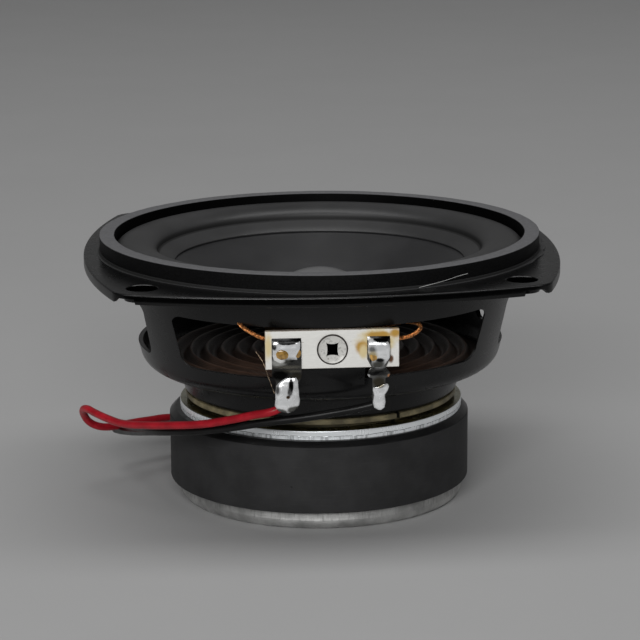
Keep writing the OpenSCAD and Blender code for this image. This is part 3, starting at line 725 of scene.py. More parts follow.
def smooth_path(points, count):
    """Evenly spaced points on a smooth line through the given points, in metres."""
    knots = [Vector(p) for p in points]
    between = 12
    fine = []
    padded = [2 * knots[0] - knots[1]] + knots + [2 * knots[-1] - knots[-2]]
    for a, b, c, d in zip(padded, padded[1:], padded[2:], padded[3:]):
        for i in range(between):
            t = i / between
            square, cube = 2 * a - 5 * b + 4 * c - d, 3 * b - a - 3 * c + d
            fine.append(0.5 * ((2 * b) + (c - a) * t + square * t * t + cube * t**3))
    fine.append(knots[-1])
    far = [0.0]
    for a, b in zip(fine, fine[1:]):
        far.append(far[-1] + (b - a).length)
    even, k = [], 0
    for i in range(count):
        goal = far[-1] * i / (count - 1)
        while k < len(far) - 2 and far[k + 1] < goal:
            k += 1
        span = far[k + 1] - far[k]
        even.append(fine[k].lerp(fine[k + 1], (goal - far[k]) / span if span else 0))
    return even


def millimetres(points):
    return [tuple(v * MM for v in p) for p in points]


def placed(turn, x=0.0, y=0.0, z=0.0):
    """Matrix that moves a shape by millimetres, then turns it about Z by degrees."""
    return Matrix.Rotation(radians(turn), 4, "Z") @ Matrix.Translation((x * MM, y * MM, z * MM))


def shifted(x, rows):
    """The rows, with x added to the first number of each."""
    return [(x + row[0], *row[1:]) for row in rows]


# Stage

# The camera of the photograph: its angles, its distance and the height it aims at in metres, its lens
CAMERA_TURN = radians(4.0)
CAMERA_RISE = radians(13.11)
CAMERA_ROLL = radians(-0.47)
CAMERA_FAR = 0.5932
CAMERA_AIM = 0.03967
LENS = 140.6


class DRIVER_OT_camera(bpy.types.Operator):
    """Place the camera at the photograph's angle"""

    bl_idname = "driver.camera"
    bl_label = "Camera"

    def execute(self, context):
        level = cos(CAMERA_RISE)
        back = Vector((-sin(CAMERA_TURN) * level, -cos(CAMERA_TURN) * level, sin(CAMERA_RISE)))
        right = Vector((cos(CAMERA_TURN), -sin(CAMERA_TURN), 0))
        up = back.cross(right)
        side = right * cos(CAMERA_ROLL) + up * sin(CAMERA_ROLL)
        top = back.cross(side)
        data = bpy.data.cameras.new("camera")
        data.lens, data.sensor_width = LENS, 36
        data.clip_start, data.clip_end = 0.01, 20
        made = bpy.data.objects.new("camera", data)
        turn = Matrix((side, top, back)).transposed().to_4x4()
        made.matrix_world = Matrix.Translation(back * CAMERA_FAR + up * CAMERA_AIM) @ turn
        context.scene.collection.objects.link(made)
        context.scene.camera = made
        return {"FINISHED"}


class DRIVER_OT_stage(bpy.types.Operator):
    """Build the floor, the backdrop and the soft studio light"""

    bl_idname = "driver.stage"
    bl_label = "Stage"

    def execute(self, context):
        colours = context.scene.driver_colours
        bm = bmesh.new()
        front, half_width = -0.22, 2.4
        line = [(front, 0.0)] + arc(1.2, 0.6, 0.6, -90, 0, 16) + [(1.8, 2.2)]
        facing = Matrix.Rotation(-CAMERA_TURN, 4, "Z")
        starts = [bm.verts.new(facing @ Vector((-half_width, y, z))) for y, z in line]
        edges = [bm.edges.new(pair) for pair in zip(starts, starts[1:])]
        new = bmesh.ops.extrude_edge_only(bm, edges=edges)["geom"]
        ends = [v for v in new if isinstance(v, bmesh.types.BMVert)]
        bmesh.ops.translate(bm, verts=ends, vec=facing @ Vector((2 * half_width, 0, 0)))
        bmesh.ops.recalc_face_normals(bm, faces=bm.faces)
        mesh = bpy.data.meshes.new("floor")
        bm.to_mesh(mesh)
        bm.free()
        mesh.shade_smooth()
        mesh.materials.append(studio_floor("floor_paper", colours.floor))
        made = bpy.data.objects.new("floor", mesh)
        context.scene.collection.objects.link(made)
        self.lamp(context, "overhead", (0, -0.16, 2.0), (0, 0, 0), (3.2, 0.9), 27.0)
        self.lamp(context, "front", (-0.25, -1.3, 0.62), (0, 0, 0.03), (0.9, 0.35), 13.0)
        self.world(context)
        context.scene.view_settings.view_transform = "Standard"
        return {"FINISHED"}

    def world(self, context):
        """A faint even light; the camera sees it as grey as the backdrop, past the edge of the floor."""
        world = bpy.data.worlds.new("studio")
        world.use_nodes = True
        nodes, links = world.node_tree.nodes, world.node_tree.links
        light, seen = nodes["Background"], nodes.new("ShaderNodeBackground")
        for background, grey, strength in ((light, 0.5, 0.03), (seen, 0.24, 1)):
            background.inputs["Color"].default_value = (grey, grey, grey, 1)
            background.inputs["Strength"].default_value = strength
        ray, choice = nodes.new("ShaderNodeLightPath"), nodes.new("ShaderNodeMixShader")
        links.new(ray.outputs["Is Camera Ray"], choice.inputs[0])
        links.new(light.outputs[0], choice.inputs[1])
        links.new(seen.outputs[0], choice.inputs[2])
        links.new(choice.outputs[0], nodes["World Output"].inputs["Surface"])
        context.scene.world = world

    def lamp(self, context, name, place, aim, size, power):
        data = bpy.data.lights.new(name, "AREA")
        data.shape = "RECTANGLE"
        data.size, data.size_y = size
        data.energy = power
        made = bpy.data.objects.new(name, data)
        made.location = place
        made.rotation_euler = (Vector(aim) - Vector(place)).to_track_quat("-Z", "Y").to_euler()
        context.scene.collection.objects.link(made)


# Leads

RED_ROUTE = millimetres([
    (-11.5, -45, 32), (-14, -44.9, 31), (-17.5, -43.3, 30), (-22.5, -40.5, 28.3), (-28.5, -35.8, 26.2),
    (-35, -29, 24.2), (-41.5, -21, 22.2), (-46.5, -14, 20.8), (-50, -8.5, 20.6), (-52.8, -4.2, 20.8),
    (-54.8, -0.2, 20.8), (-55.8, 3.2, 19.6), (-55.6, 5.8, 17.6), (-54.6, 7.4, 15.6), (-52.6, 8.8, 14.1),
    (-50, 10.6, 13.3), (-47.2, 13.2, 13), (-44.2, 16.6, 12.6), (-40, 20.8, 12), (-36.6, 24.2, 11.5),
    (-33, 27.6, 10.5), (-28.5, 31.2, 8.6), (-23.5, 34.6, 6), (-18.5, 37.2, 3.4), (-13.5, 39, 1.6),
    (-8.5, 40, 1), (-3.5, 40.3, 1), (1.5, 40.2, 1), (6.5, 39.6, 1), (8.5, 39.3, 1),
])
BLACK_ROUTE = millimetres([
    (9.4, -45, 32.4), (6.5, -44.9, 31.6), (0, -43.6, 30.1), (-7.4, -42.2, 28.7), (-15, -40.2, 27.4),
    (-22.3, -37.4, 25.7), (-29.3, -32.8, 23.8), (-35.6, -26.4, 22), (-39.8, -18.3, 19.9),
    (-42, -10, 17.6), (-43.8, -1.2, 15.2), (-45.4, 7.2, 13), (-47.6, 15, 11.2), (-48.6, 19.4, 10.4),
    (-47.2, 23.2, 9.8), (-44.2, 25.8, 9.3), (-40.2, 28.4, 8.6), (-36.4, 31.2, 7.8), (-32, 34.4, 6.6),
    (-27.5, 37.6, 5), (-22.5, 40.4, 3.2), (-17.5, 42.6, 1.8), (-12.5, 44, 1.1), (-7.5, 44.8, 1),
    (-2.5, 45.1, 1), (2.5, 45, 1), (7.5, 44.4, 1), (9.5, 44, 1),
])
LEFT_BRAID = millimetres([
    (-9.3, -19.9, 45.6), (-11, -22, 45), (-14, -26, 46.6), (-17.4, -31, 49), (-20, -35.8, 50.4),
    (-20.8, -39.4, 50.2), (-19, -42.2, 48.9), (-16.4, -43.6, 47.6), (-13.4, -43.5, 46.5), (-11, -43.5, 46.1),
])
RIGHT_BRAID = millimetres([
    (9.3, -19.9, 45.6), (10.6, -22, 44.4), (12.2, -26, 44.8), (13.8, -31, 46.6), (16, -36.2, 48.4),
    (18.6, -39.8, 48.7), (18.8, -42.2, 48), (16.2, -43.6, 46.8), (12.8, -43.5, 46.3), (10, -43.5, 46.1),
])
BARE_END = 6.0


def twisted(path, count, reach, pitch):
    """Strand paths that wind round a path at a distance of reach, one turn per pitch."""
    made = []
    steps = len(path)
    turns = sum((b - a).length for a, b in zip(path, path[1:])) / pitch
    for k in range(count):
        strand = []
        for i, point in enumerate(path):
            along = (path[min(i + 1, steps - 1)] - path[max(i - 1, 0)]).normalized()
            side = Vector((0, 0, 1)).cross(along).normalized()
            up = along.cross(side)
            a = 2 * pi * (k / count + turns * i / (steps - 1))
            strand.append(point + (side * cos(a) + up * sin(a)) * reach)
        made.append(strand)
    return made


class DRIVER_OT_leads(bpy.types.Operator):
    """Lay the red and black leads and their tinned ends"""

    bl_idname = "driver.leads"
    bl_label = "Insulated leads"

    def execute(self, context):
        sizes, colours = context.scene.driver_sizes, context.scene.driver_colours
        tinned = strands("tinned_strands", (0.74, 0.73, 0.69), 0.3)
        for name, route, colour, far in (
            ("red", RED_ROUTE, colours.red, 0.1526),
            ("black", BLACK_ROUTE, colours.black, 0.1688),
        ):
            curve = bpy.data.curves.new(name + "_insulation", "CURVE")
            curve.dimensions = "3D"
            curve.bevel_depth = sizes.lead / 2
            curve.bevel_resolution = 5
            curve.resolution_u = curve.render_resolution_u = 8
            curve.use_fill_caps = True
            spline = curve.splines.new("BEZIER")
            spline.bezier_points.add(len(route) - 1)
            for knot, co in zip(spline.bezier_points, route):
                knot.co = co
                knot.handle_left_type = knot.handle_right_type = "AUTO"
            curve.materials.append(insulation(name + "_insulation", colour))
            lead = bpy.data.objects.new(name + "_insulation", curve)
            context.scene.collection.objects.link(lead)
            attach(lead, STEEL_BODY)
            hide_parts(name + "_lead")
            name + "_pvc"
            end = Vector(route[-1])
            along = (end - Vector(route[-2])).normalized()
            along.z = 0
            core = [end + along * (BARE_END * MM * i / 24) for i in range(25)]
            bm = swept(twisted(core, 6, 0.33 * MM, 6 * MM) + [core], 0.17 * MM)
            tip = piece(
                name + "_bare_end", bm, tinned, replaces=[name + "_lead_tip"], angle=60
            )
        return {"FINISHED"}


# Basket

SHEET = 1.0
TILT = 14.3
FLANGE_HALF = 54.5
SIDE_ARC = 140.0
CORNER = 65.2
GASKET_OUT = 50.8
NECK = 32.0
BOWL = 41.9
SHELF = FLOOR + 6.3
RIM_LOW = FLANGE - 2.2
WINDOW_LOW = FLOOR + 12.1
WINDOW_TOP = WINDOW_LOW + 12.2
WINDOW_LEAN = 1.7
WINDOW_HALVES = {0: 50, 90: 23.2, 180: 50, 270: 24}
BOWED = 52.4
RIVET_AT = 25.5
RIVET_R = 1.6
TONGUE_W = 14.5
QUARTERS = (0, 90, 180, 270)


def wall_sections():
    """Centres of the bends, so that the straight walls between them lean by TILT."""
    lean, slope = radians(TILT), tan(radians(TILT))
    floor_cx, floor_cz = NECK - 1.5, FLOOR + 1.5
    neck_cz = SHELF - 2.6
    rise = neck_cz + 2.6 * sin(lean) - floor_cz + 1.5 * sin(lean)
    neck_cx = floor_cx + 4.1 * cos(lean) + rise * slope
    bowl_cx, bowl_cz = BOWL - 4.5, SHELF + 4.5
    top_cz = FLANGE - SHEET - 1
    rise = top_cz + sin(lean) - bowl_cz + 4.5 * sin(lean)
    top_cx = bowl_cx + 5.5 * cos(lean) + rise * slope
    return (floor_cx, floor_cz), (neck_cx, neck_cz), (bowl_cx, bowl_cz), (top_cx, top_cz)


BENDS = wall_sections()


def wall_r(z):
    """Radius of the outside of the bowl's wall at a height."""
    cx, cz = BENDS[2]
    lean = radians(TILT)
    return cx + 4.5 * cos(lean) + (z - cz + 4.5 * sin(lean)) * tan(lean)


def sheet_face(inset):
    """One face of the pressed sheet, from the floor hole out to the gasket."""
    (fx, fz), (nx, nz), (bx, bz), (tx, tz) = BENDS
    return (
        [(20, FLOOR + inset)]
        + arc(fx, fz, 1.5 - inset, -90, -TILT, 6)
        + arc(nx, nz, 2.6 + inset, 180 - TILT, 90, 8)
        + arc(bx, bz, 4.5 - inset, -90, -TILT, 12)
        + [(wall_r(z) - inset / cos(radians(TILT)), z) for z in (WINDOW_LOW, 43, WINDOW_TOP, 53)]
        + arc(tx, tz, 1 + inset, 180 - TILT, 90, 6)
        + [(GASKET_OUT, FLANGE - SHEET + inset)]
    )


def flange_reach(turn, inset):
    """Distance from the axis to the bowed square of the flange, in millimetres."""
    reach = CORNER - inset
    for k in range(4):
        along = cos(turn - k * pi / 2) * (FLANGE_HALF - SIDE_ARC)
        reach = min(reach, along + sqrt(along**2 - (FLANGE_HALF - SIDE_ARC) ** 2 + (SIDE_ARC - inset) ** 2))
    return reach


def window_outline(half):
    top = wall_r(WINDOW_TOP) * sin(radians(half))
    low = top - WINDOW_LEAN
    return (
        arc(low - 3.2, WINDOW_LOW + 3.2, 3.2, -90, 0, 8)
        + arc(top - 1.8, WINDOW_TOP - 1.8, 1.8, 0, 90, 6)
        + arc(1.8 - top, WINDOW_TOP - 1.8, 1.8, 90, 180, 6)
        + arc(3.2 - low, WINDOW_LOW + 3.2, 3.2, 180, 270, 8)
    )


def upright(turn, back):
    """Matrix that stands an outline of (x, z) up, facing -Y at a distance of back, and turns it."""
    stand = Matrix(((1, 0, 0, 0), (0, 0, -1, 0), (0, 1, 0, 0), (0, 0, 0, 1)))
    return placed(turn, y=-back) @ stand


class DRIVER_OT_basket(bpy.types.Operator):
    """Press the basket: bowl, windows, folded flange and the tongue for the terminals"""

    bl_idname = "driver.basket"
    bl_label = "Basket"

    def execute(self, context):
        sizes, colours = context.scene.driver_sizes, context.scene.driver_colours
        edge = sizes.rim_edge / MM
        outside, inside = sheet_face(0), sheet_face(SHEET)
        under, out, fold = FLANGE - SHEET, FLANGE_HALF, 0.4
        rim = (
            [(BOWED, under)]
            + arc(out - SHEET - 0.25, under - 0.25, 0.25, 90, 0, 3)
            + [(out - SHEET, RIM_LOW + 0.6)]
            + arc(out - SHEET + edge, RIM_LOW + edge, edge, 180, 270, 3)
            + arc(out - edge, RIM_LOW + edge, edge, -90, 0, 3)
            + [(out, RIM_LOW + 0.9)]
            + arc(out - fold, FLANGE - fold, fold, 0, 90, 7)
            + [(BOWED, FLANGE)]
        )
        bm = lathe(outside + rim + inside[::-1], sizes.turns)
        for v in bm.verts:
            r = hypot(v.co.x, v.co.y) / MM
            if r > GASKET_OUT + 0.01:
                turn = atan2(v.co.y, v.co.x)
                inset = out - r
                far = flange_reach(turn, min(inset, out - BOWED))
                if r < BOWED:
                    share = (r - GASKET_OUT) / (BOWED - GASKET_OUT)
                    far = GASKET_OUT + (flange_reach(turn, out - BOWED) - GASKET_OUT) * share
                v.co.x, v.co.y = v.co.x / r * far, v.co.y / r * far
        cutters = []
        for turn, half in WINDOW_HALVES.items():
            cutters.append(prism(window_outline(half), 36, upright(turn, 19)))
        notch = [(-2, under), (2, under), (4.2, RIM_LOW - 0.3), (-2.3, RIM_LOW - 0.3)]
        for turn, flip, shift in ((45, -1, 1.4), (225, -1, 1.4), (135, 1, 3.2), (315, 1, 3.2)):
            outline = [((x - shift) * flip, z) for x, z in notch]
            cutters.append(prism(outline, 18, upright(turn + 90, GASKET_OUT)))
        low, top = under - 1.4, FLANGE + 0.1
        dish = [(0, low - 1), (HOLE_R, low - 1), (HOLE_R, FLANGE - 0.2), (HOLE_R + 0.3, top), (0, top)]
        collar = [(0, low), (HOLE_R + 0.5, low), (HOLE_R + 0.5, FLANGE - 0.5), (0, FLANGE - 0.5)]
        joined, bores = [self.tongue()], [prism(eyelet_bore(), 8, upright(0, 40))]
        for turn in (45, 135, 225, 315):
            for profile, group in ((collar, joined), (dish, bores)):
                tool = lathe(profile, 48, closed=False)
                bmesh.ops.transform(tool, matrix=placed(turn, HOLE_AT), verts=tool.verts)
                group.append(tool)
        for turn in QUARTERS:
            # The outline starts at 4 degrees, so that none of its points lies on an edge of the sheet
            bores.append(prism(arc(RIVET_AT, 0, RIVET_R, 4, 349, 23), 3, placed(turn, z=FLOOR - 1)))
        mesh = carved(bm, cutters, joined, bores)
        paint = painted("basket_paint", colours.paint)
        dressed("pressed_basket", mesh, paint, replaces=["basket"])
        return {"FINISHED"}

    def tongue(self):
        """The tongue left standing in the front window, joggled forward to the board."""
        low, front, top = WINDOW_LOW - 1.5, BOARD_HIGH.y, BOARD_MID + 2.8
        foot = wall_r(low)
        side = [
            (-foot + 0.5, low), (-foot + 0.2, low), (front, WINDOW_LOW + 2.6), (front, top),
            (front + SHEET, top), (front + SHEET, WINDOW_LOW + 2.9), (SHEET - wall_r(WINDOW_LOW), WINDOW_LOW),
        ]
        place = Matrix(((0, 0, 1, (BOARD_X - TONGUE_W / 2) * MM), (1, 0, 0, 0), (0, 1, 0, 0), (0, 0, 0, 1)))
        return prism(side, TONGUE_W, place)


# Front of the driver

CONE_RIM = 38.2
CONE_NECK_Z = FLANGE - 14.5
FORMER = 12.9
CONE_SLOPE = 13.6 / (CONE_RIM - FORMER)
ROLL = 42.2
ROLL_HALF = 4.7
BAND = 33.6
SECTORS = 24


def cone_z(r):
    return CONE_NECK_Z + (r - FORMER) * CONE_SLOPE


def radially_blended(name, bm, finish):
    """A ring between the cone and the basket, cut into equal sectors, each made a piece of its own, and
    joined again."""
    parts = []
    width = 2 * pi / SECTORS

    def sector(face):
        centre = face.calc_center_median()
        return int((atan2(centre.y, centre.x) % (2 * pi)) / width)

    for k in range(SECTORS):
        part = bm.copy()
        bmesh.ops.delete(part, geom=[f for f in part.faces if sector(f) != k], context="FACES")
        made = piece(f"{name}_{k}", part, finish, blended=True, angle=50)
        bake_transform(made)
        parts.append(made)
    bm.free()
    with bpy.context.temp_override(active_object=parts[0], selected_editable_objects=parts):
        bpy.ops.object.join()
    whole = parts[0]
    whole.name = whole.data.name = name
    joined = bmesh.new()
    joined.from_mesh(whole.data)
    bmesh.ops.remove_doubles(joined, verts=joined.verts, dist=1e-7)
    joined.to_mesh(whole.data)
    joined.free()
    smoothed(whole.data, 50)
    return whole


def half_roll(inset, band_z):
    """Outside of the surround's roll where inset is 0, or its inside."""
    points = []
    steps = 28
    rise = FLANGE + 2.45 - (band_z + LIP) / 2
    for i in range(steps + 1):
        a = pi * i / steps
        base = band_z + (LIP - band_z) * i / steps
        flat = sin(a) ** 0.8 if inset == 0 else sin(a) ** 0.82
        points.append((ROLL - (ROLL_HALF - inset) * cos(a), base - inset + rise * flat))
    return points


class DRIVER_OT_front(bpy.types.Operator):
    """Build the gasket ring, surround, cone and dust cap"""

    bl_idname = "driver.front"
    bl_label = "Cone and surround"

    def execute(self, context):
        sizes, colours = context.scene.driver_sizes, context.scene.driver_colours
        steps = sizes.turns
        inner, outer, soft = 47.4, GASKET_OUT, 0.16
        ring = (
            [(inner + 0.1, LIP), (outer - 0.1, LIP), (outer, LIP + 0.1)]
            + arc(outer - soft, GASKET_TOP - soft, soft, 0, 90, 5)
            + arc(inner + soft, GASKET_TOP - soft, soft, 90, 180, 5)
            + [(inner, LIP + 0.1)]
        )
        bm = lathe(ring, steps)
        for v in bm.verts:
            v.co += v.normal * noise.noise(v.co * 350) * 0.05 * MM
        black = foam("gasket_foam", colours.gasket)
        piece("gasket_foam", bm, black, replaces=["gasket_ring"])

        low = cone_z(BAND) + 0.25
        band_out = cone_z(ROLL - ROLL_HALF) + 0.65
        skin = (
            [(BAND + 0.1, low), (BAND, low + 0.1), (BAND, low + 0.3), (BAND + 0.1, low + 0.4)]
            + [(35, cone_z(35) + 0.65), (36.6, cone_z(36.6) + 0.65)]
            + half_roll(0, band_out)
            + [(49, LIP), (50.75, LIP), (50.85, LIP - 0.1), (50.9, FLANGE + 0.16), (51.15, FLANGE + 0.1)]
            + [(51.35, FLANGE + 0.12), (51.45, FLANGE + 0.05), (51.45, FLANGE)]
            + [(ROLL + ROLL_HALF - 0.4, FLANGE)]
            + half_roll(0.5, band_out)[1:-1][::-1]
            + [(CONE_RIM, cone_z(CONE_RIM) + 0.25)]
        )
        bm = lathe(skin, steps)
        for v in bm.verts:
            r, turn = hypot(v.co.x, v.co.y) / MM, degrees(atan2(v.co.y, v.co.x))
            share = max(0, min((r - 50.9) / 0.4, 1)) * max(0, 1 - (abs(turn + 2) / 38) ** 2)
            far = r + share * (0.7 + noise.noise(Vector((turn / 5, 0, 0))) * 0.7)
            v.co.x, v.co.y = v.co.x / r * far, v.co.y / r * far
            if v.co.z / MM > FLANGE + 0.05:
                v.co.z += share * abs(noise.noise(Vector((turn / 7, r, 3)))) * 0.7 * MM
        skin_rubber = rubber("surround_rubber", colours.rubber)
        roll = radially_blended("surround_roll", bm, skin_rubber)
        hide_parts("surround")

        thick, collar = 0.7, 0.6
        body = (
            [(FORMER, CONE_NECK_Z - 1.8), (FORMER + collar, CONE_NECK_Z - 1.8)]
            + [(FORMER + collar, cone_z(FORMER + collar) - thick)]
            + [(r, cone_z(r) - thick) for r in range(15, 38, 3)]
            + [(CONE_RIM - 0.1, cone_z(CONE_RIM) - thick), (CONE_RIM, cone_z(CONE_RIM) - thick + 0.1)]
            + [(CONE_RIM, cone_z(CONE_RIM) - 0.1), (CONE_RIM - 0.1, cone_z(CONE_RIM) - 0.05)]
            + [(r, cone_z(r)) for r in range(37, 13, -2)]
            + [(FORMER, CONE_NECK_Z)]
        )
        plastic = moulded("cone_plastic", colours.cone, 0.42, rings=1.1)
        piece("cone_body", lathe(body, steps), plastic, CONE_BODY, ["cone"])

        cap_r, cap_h, skin_t = 14.2, 8.7, 0.5
        base = cone_z(cap_r)
        ball = (cap_r**2 + cap_h**2) / (2 * cap_h)
        centre = base + cap_h - ball
        half = degrees(asin(cap_r / ball))
        foot = cap_r - skin_t * 1.2
        inner_half = degrees(asin(foot / (ball - skin_t)))
        dome = (
            arc(0, centre, ball, 90 - half, 90, 24)
            + arc(0, centre, ball - skin_t, 90, 90 - inner_half, 24)
            + [(foot, cone_z(foot) + 0.02)]
        )
        bm, plastic = lathe(dome, steps // 2), moulded("cap_plastic", colours.cap, 0.34)
        piece("dust_dome", bm, plastic, CONE_BODY, ["dust_cap"], angle=50)
        return {"FINISHED"}


# Spider


class DRIVER_OT_spider(bpy.types.Operator):
    """Press the spider's corrugations"""

    bl_idname = "driver.spider"
    bl_label = "Spider"

    def execute(self, context):
        sizes, colours = context.scene.driver_sizes, context.scene.driver_colours
        thick, waves, high = 0.5, 6, 0.9
        rim_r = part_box("spider")[1].x / MM
        base = SHELF + SHEET
        out_r, in_r = rim_r - 1.4, FORMER + 0.25 + thick
        pitch = (out_r - in_r) / waves
        steps = 16 * waves

        def face(lift):
            points = []
            for i in range(steps + 1):
                r = out_r - i * pitch * waves / steps
                wave = 0.5 - 0.5 * cos(2 * pi * (out_r - r) / pitch)
                points.append((r, base + 2 * high * wave**1.15 + lift))
            return points

        collar_r = in_r - thick
        top = face(0)[-1][1]
        skin = (
            [(rim_r, base)] + face(0) + [(collar_r, top), (collar_r, top + 1.4), (in_r, top + 1.4)]
            + face(thick)[::-1] + [(rim_r, base + thick)]
        )
        bm, woven = lathe(skin, sizes.turns), cloth("spider_cloth", colours.cloth)
        disc = radially_blended("spider_cloth", bm, woven)
        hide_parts("spider")
        return {"FINISHED"}


# Motor


def roughened(bm, depth, size, chosen):
    """Moves the chosen points in and out a little, depth and size in millimetres."""
    for v in bm.verts:
        if chosen(hypot(v.co.x, v.co.y) / MM, v.co.z / MM):
            out = Vector((v.co.x, v.co.y, 0)).normalized()
            v.co += out * noise.noise(v.co / (size * MM)) * depth * MM


class DRIVER_OT_motor(bpy.types.Operator):
    """Build the back plate, magnet, top plate and spacer ring"""

    bl_idname = "driver.motor"
    bl_label = "Motor"

    def execute(self, context):
        sizes, colours = context.scene.driver_sizes, context.scene.driver_colours
        steps = sizes.turns
        low_r, inner = 33.1, 9.0
        plate = (
            [(inner, 0), (20, 0)] + arc(low_r - 1.8, 1.8, 1.8, -90, 0, 8)
            + [(low_r, 2.1), (low_r - 0.05, 2.3), (low_r - 0.05, 3.2), (low_r - 0.02, PLATE_TOP - 0.5)]
            + arc(low_r - 0.4, PLATE_TOP - 0.4, 0.4, 0, 90, 3)
            + [(20, PLATE_TOP), (inner, PLATE_TOP)]
        )
        bm = lathe(plate, steps)
        roughened(bm, 0.06, 0.9, lambda r, z: r > 32.9 and 2.2 < z < 4)
        zinc = dull_zinc("dull_zinc", colours.dull_zinc)
        piece("back_plate_disc", bm, zinc, replaces=["back_plate"])

        ring_r, bevel, shift = 35.0, 1.3, -0.45
        ring = (
            [(16, PLATE_TOP), (ring_r - 0.3, PLATE_TOP)]
            + [(ring_r - 0.05, PLATE_TOP + 0.15), (ring_r, PLATE_TOP + 0.4)]
            + [(ring_r, z) for z in (8, 11, 14)]
            + [(ring_r, RING_TOP - bevel), (ring_r - 0.1, RING_TOP - bevel * 0.9)]
            + [(ring_r - bevel * 0.5, RING_TOP - bevel * 0.48), (ring_r - bevel + 0.1, RING_TOP - 0.1)]
            + [(ring_r - bevel - 0.1, RING_TOP), (16, RING_TOP)]
        )
        bm = lathe(ring, steps)
        roughened(bm, 0.09, 1.6, lambda r, z: r > 33 and (z > RING_TOP - 2 or z < PLATE_TOP + 0.5))
        bmesh.ops.translate(bm, verts=bm.verts, vec=(shift * MM, 0, 0))
        ground = ferrite("ferrite", colours.ferrite)
        piece("ferrite_ring", bm, ground, replaces=["magnet"], angle=25)

        top_r, bore, thick = 33.0, 13.7, TOP_PLATE_TOP - RING_TOP
        shear = sizes.shear / MM
        disc = (
            [(bore, RING_TOP), (top_r - 0.15, RING_TOP), (top_r - 0.05, RING_TOP + 0.15)]
            + [(top_r - 0.08, RING_TOP + shear * 0.45), (top_r - 0.05, RING_TOP + shear * 0.8)]
            + [(top_r, RING_TOP + shear + 0.1), (top_r, RING_TOP + thick * 0.65)]
            + arc(top_r - 0.3, TOP_PLATE_TOP - 0.3, 0.3, 0, 90, 5)
            + [(bore, TOP_PLATE_TOP)]
        )
        bm = lathe(disc, steps)
        roughened(bm, 0.07, 1.1, lambda r, z: r > 32.8 and RING_TOP + 0.1 < z < RING_TOP + shear)
        zinc = sheared_zinc("bright_zinc", colours.zinc, TOP_PLATE_TOP, thick, shear)
        piece("top_plate_disc", bm, zinc, replaces=["top_plate"])

        rim, foot, bore = 31.6, 29.4, 21.5
        spacer = (
            [(bore, TOP_PLATE_TOP), (foot, TOP_PLATE_TOP), (foot, FLOOR - 1.3), (rim - 0.12, FLOOR - 1.2)]
            + [(rim, FLOOR - 1.08), (rim, FLOOR - 0.15), (rim - 0.15, FLOOR), (bore, FLOOR)]
        )
        slot_half, under, over = 0.45, TOP_PLATE_TOP - 1, FLOOR + 1
        slot = [(-slot_half, under), (slot_half, under), (slot_half, over), (-slot_half, over)]
        cutters = [prism(slot, 4, upright(SLOT_TURN, foot))]
        for turn in QUARTERS:
            cutters.append(prism(arc(RIVET_AT, 0, RIVET_R, 0, 345, 23), 5, placed(turn, z=under)))
        mesh = carved(lathe(spacer, steps), cutters)
        fibre = waxed_fibre("waxed_fibre", colours.fibre)
        dressed("spacer_fibre", mesh, fibre, replaces=["spacer_ring"])
        return {"FINISHED"}


# Terminals


BARREL = 2.35
LUG_THICK = 0.5
LUG_BEND_Z = 46.7
LUG_BEND_R = 1.15


def softened(bm, width, segments, sharp=35):
    """Rounds the sharp edges of a bmesh; width is in metres."""
    edges = [e for e in bm.edges if len(e.link_faces) == 2 and degrees(e.calc_face_angle(0)) > sharp]
    bmesh.ops.bevel(
        bm, geom=edges, offset=width, offset_type="OFFSET", segments=segments, profile=0.5, affect="EDGES",
        clamp_overlap=True, material=-1,
    )


def plate(middle, outline):
    """A lug with an outline of (x, z), x counted from its middle, bent back at its top, a little uneven."""
    outline, front, cuts = shifted(middle, outline), FACE + LUG_THICK, 14
    bm = prism(outline, LUG_THICK, upright(0, front - LUG_THICK))
    low, high = min(z for _, z in outline), max(z for _, z in outline)
    for i in range(1, cuts):
        whole = list(bm.verts) + list(bm.edges) + list(bm.faces)
        level = low + (high - low) * i / cuts
        bmesh.ops.bisect_plane(bm, geom=whole, plane_co=(0, 0, level * MM), plane_no=(0, 0, 1))
    softened(bm, 0.12 * MM, 2, 60)
    for v in bm.verts:
        z = v.co.z / MM
        if z > LUG_BEND_Z:
            a = min((z - LUG_BEND_Z) / LUG_BEND_R, pi / 2)
            depth = front + v.co.y / MM
            v.co.y = (-front + LUG_BEND_R * (1 - cos(a)) + depth * cos(a)) * MM
            v.co.z = (LUG_BEND_Z + LUG_BEND_R * sin(a) - depth * sin(a)) * MM
        v.co.y += noise.noise(v.co * 400) * 0.05 * MM
    return bm


